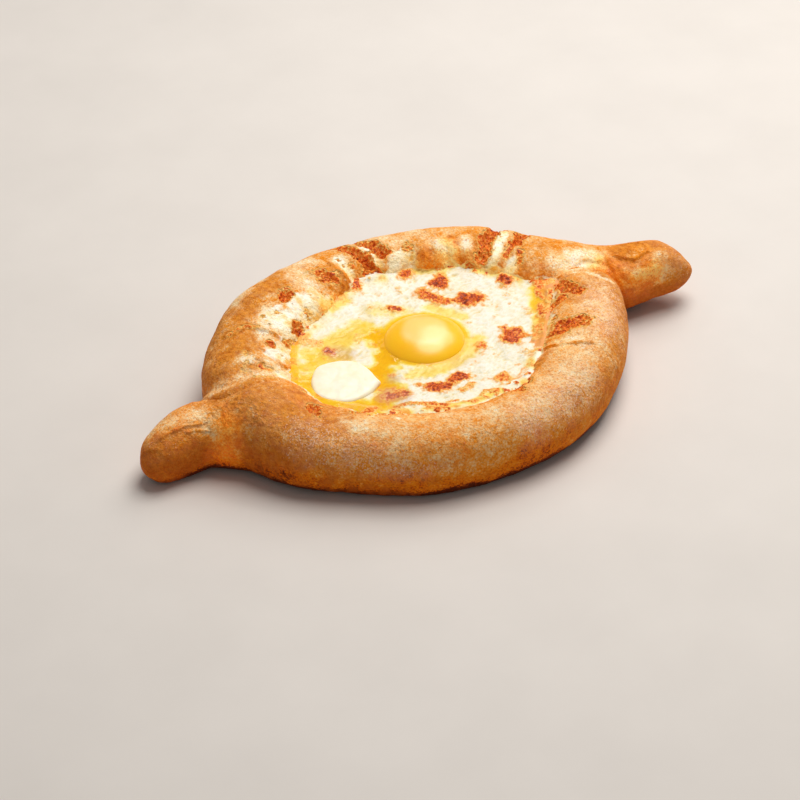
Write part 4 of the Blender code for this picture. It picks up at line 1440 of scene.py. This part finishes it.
strands = sums(tree, "MULTIPLY", strands, between(tree, wet, 0, 0.7, 1, 0.1))
bump = put(tree, "Bump", {"Height": strands, "Strength": 0.4, "Distance": 0.6 * MM})
cheese_look = {
    "Base Color": mixed(tree, sunken, browned["Colour"], chart(196, 138, 112)),
    "Roughness": between(tree, wet, 0, 0.8, 0.42, 0.14),
    "Coat Weight": between(tree, wet, 0, 0.6, 0.1, 0.3),
    "Coat Roughness": 0.12,
    # A faint warm glow: painted light that warms the cheese's shade.
    "Emission Color": chart(255, 206, 120),
    "Emission Strength": 0.012,
    "Specular IOR Level": 0.15,
    "Subsurface Weight": 0.2,
    "Subsurface Radius": (1.0, 0.9, 0.75),
    "Subsurface Scale": 2 * MM,
    "Normal": bump.outputs["Normal"],
}
fill(tree, shader, cheese_look)
cheese_piece.data.materials.append(cheese_finish)
print("cheese finish:", len(tree.nodes), "nodes")

# %% [markdown]
# ## The yolk's and the butter's finish
#
# Yolk is a deep yellow-orange that light passes into, under a glossy skin. That skin mirrors the
# lamps as a wide pale patch, and its middle is painted paler, partly as skin that has begun to cloud
# and partly as a painted highlight that widens the patch. A weak glow of painted light brightens its
# shaded sides. Butter has a soft shine and is cream-coloured, with the faintest marbling, and a
# weaker glow of painted light lifts its shaded edge.

# %% The yolk's finish
yolk_finish, tree, shader = material("yolk")
warm = ramp(tree, grain(tree, 14, 3), ((0.3, chart(255, 190, 0)), (0.7, chart(255, 200, 4))))
# Paler in the middle: partly the skin clouding, partly a painted highlight that widens the mirrored
# lamps.
clouded_and_highlight = more(tree, painted_on(tree, "film"), uneven(tree, 9), 0.08)
yolk_look = {
    "Base Color": mixed(tree, between(tree, clouded_and_highlight, 0.15, 0.75), warm, chart(255, 214, 120)),
    "Roughness": between(tree, grain(tree, 6, 3), 0.3, 0.7, 0.34, 0.42),
    "Specular IOR Level": 0.3,
    "Coat Weight": 0.9,
    "Coat Roughness": 0.26,
    "Subsurface Weight": 0.15,
    "Subsurface Radius": (1.0, 0.6, 0.2),
    "Subsurface Scale": 2 * MM,
    # A glow of painted light that brightens the yolk's shaded sides.
    "Emission Color": chart(255, 176, 0),
    "Emission Strength": 0.16,
}
fill(tree, shader, yolk_look)
yolk_piece.data.materials.append(yolk_finish)
print("yolk finish:", len(tree.nodes), "nodes")

# %% The butter's finish
butter_finish, tree, shader = material("butter")
bump = put(tree, "Bump", {"Height": grain(tree, 2.5, 3), "Strength": 0.3, "Distance": 0.4 * MM})
CREAM = ((0.3, chart(252, 240, 206)), (0.6, chart(255, 248, 226)))
butter_look = {
    "Base Color": ramp(tree, grain(tree, 7, 4), CREAM),
    "Roughness": between(tree, grain(tree, 5, 2), 0.3, 0.7, 0.3, 0.5),
    "Subsurface Weight": 0.15,
    "Subsurface Radius": (1.0, 0.8, 0.5),
    "Subsurface Scale": 2 * MM,
    # A weak glow of painted light that lifts the butter's shaded edge.
    "Emission Color": chart(255, 232, 180),
    "Emission Strength": 0.06,
    "Normal": bump.outputs["Normal"],
}
fill(tree, shader, butter_look)
butter_piece.data.materials.append(butter_finish)
print("butter finish:", len(tree.nodes), "nodes")

# %% [markdown]
# ## The table and the last settings
#
# The bread stands on a plain pale table, which also throws light back up under its sides. Then each
# piece is hung on the bread's one body, and the solid it stands for is hidden.

# %% The table
bpy.ops.mesh.primitive_plane_add(size=6)
table = bpy.context.object
table.name = "table"
table_finish, tree, shader = material("table")
STONE = ((0.3, chart(222, 215, 208)), (0.7, chart(227, 220, 213)))
fill(tree, shader, {"Base Color": ramp(tree, grain(tree, 60, 4), STONE), "Roughness": 0.7})
table.data.materials.append(table_finish)
print("table:", round(table.dimensions.x, 1), "m wide")

# %% Pieces and solids
STANDS_FOR = {
    near_roll: "crust",
    far_roll: "crust",
    crust_base: "crust",
    cheese_piece: "cheese",
    yolk_piece: "yolk",
    butter_piece: "butter",
}
for piece, node in STANDS_FOR.items():
    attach(piece, "root")
    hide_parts(node)
    print(piece.name, "stands for", node)
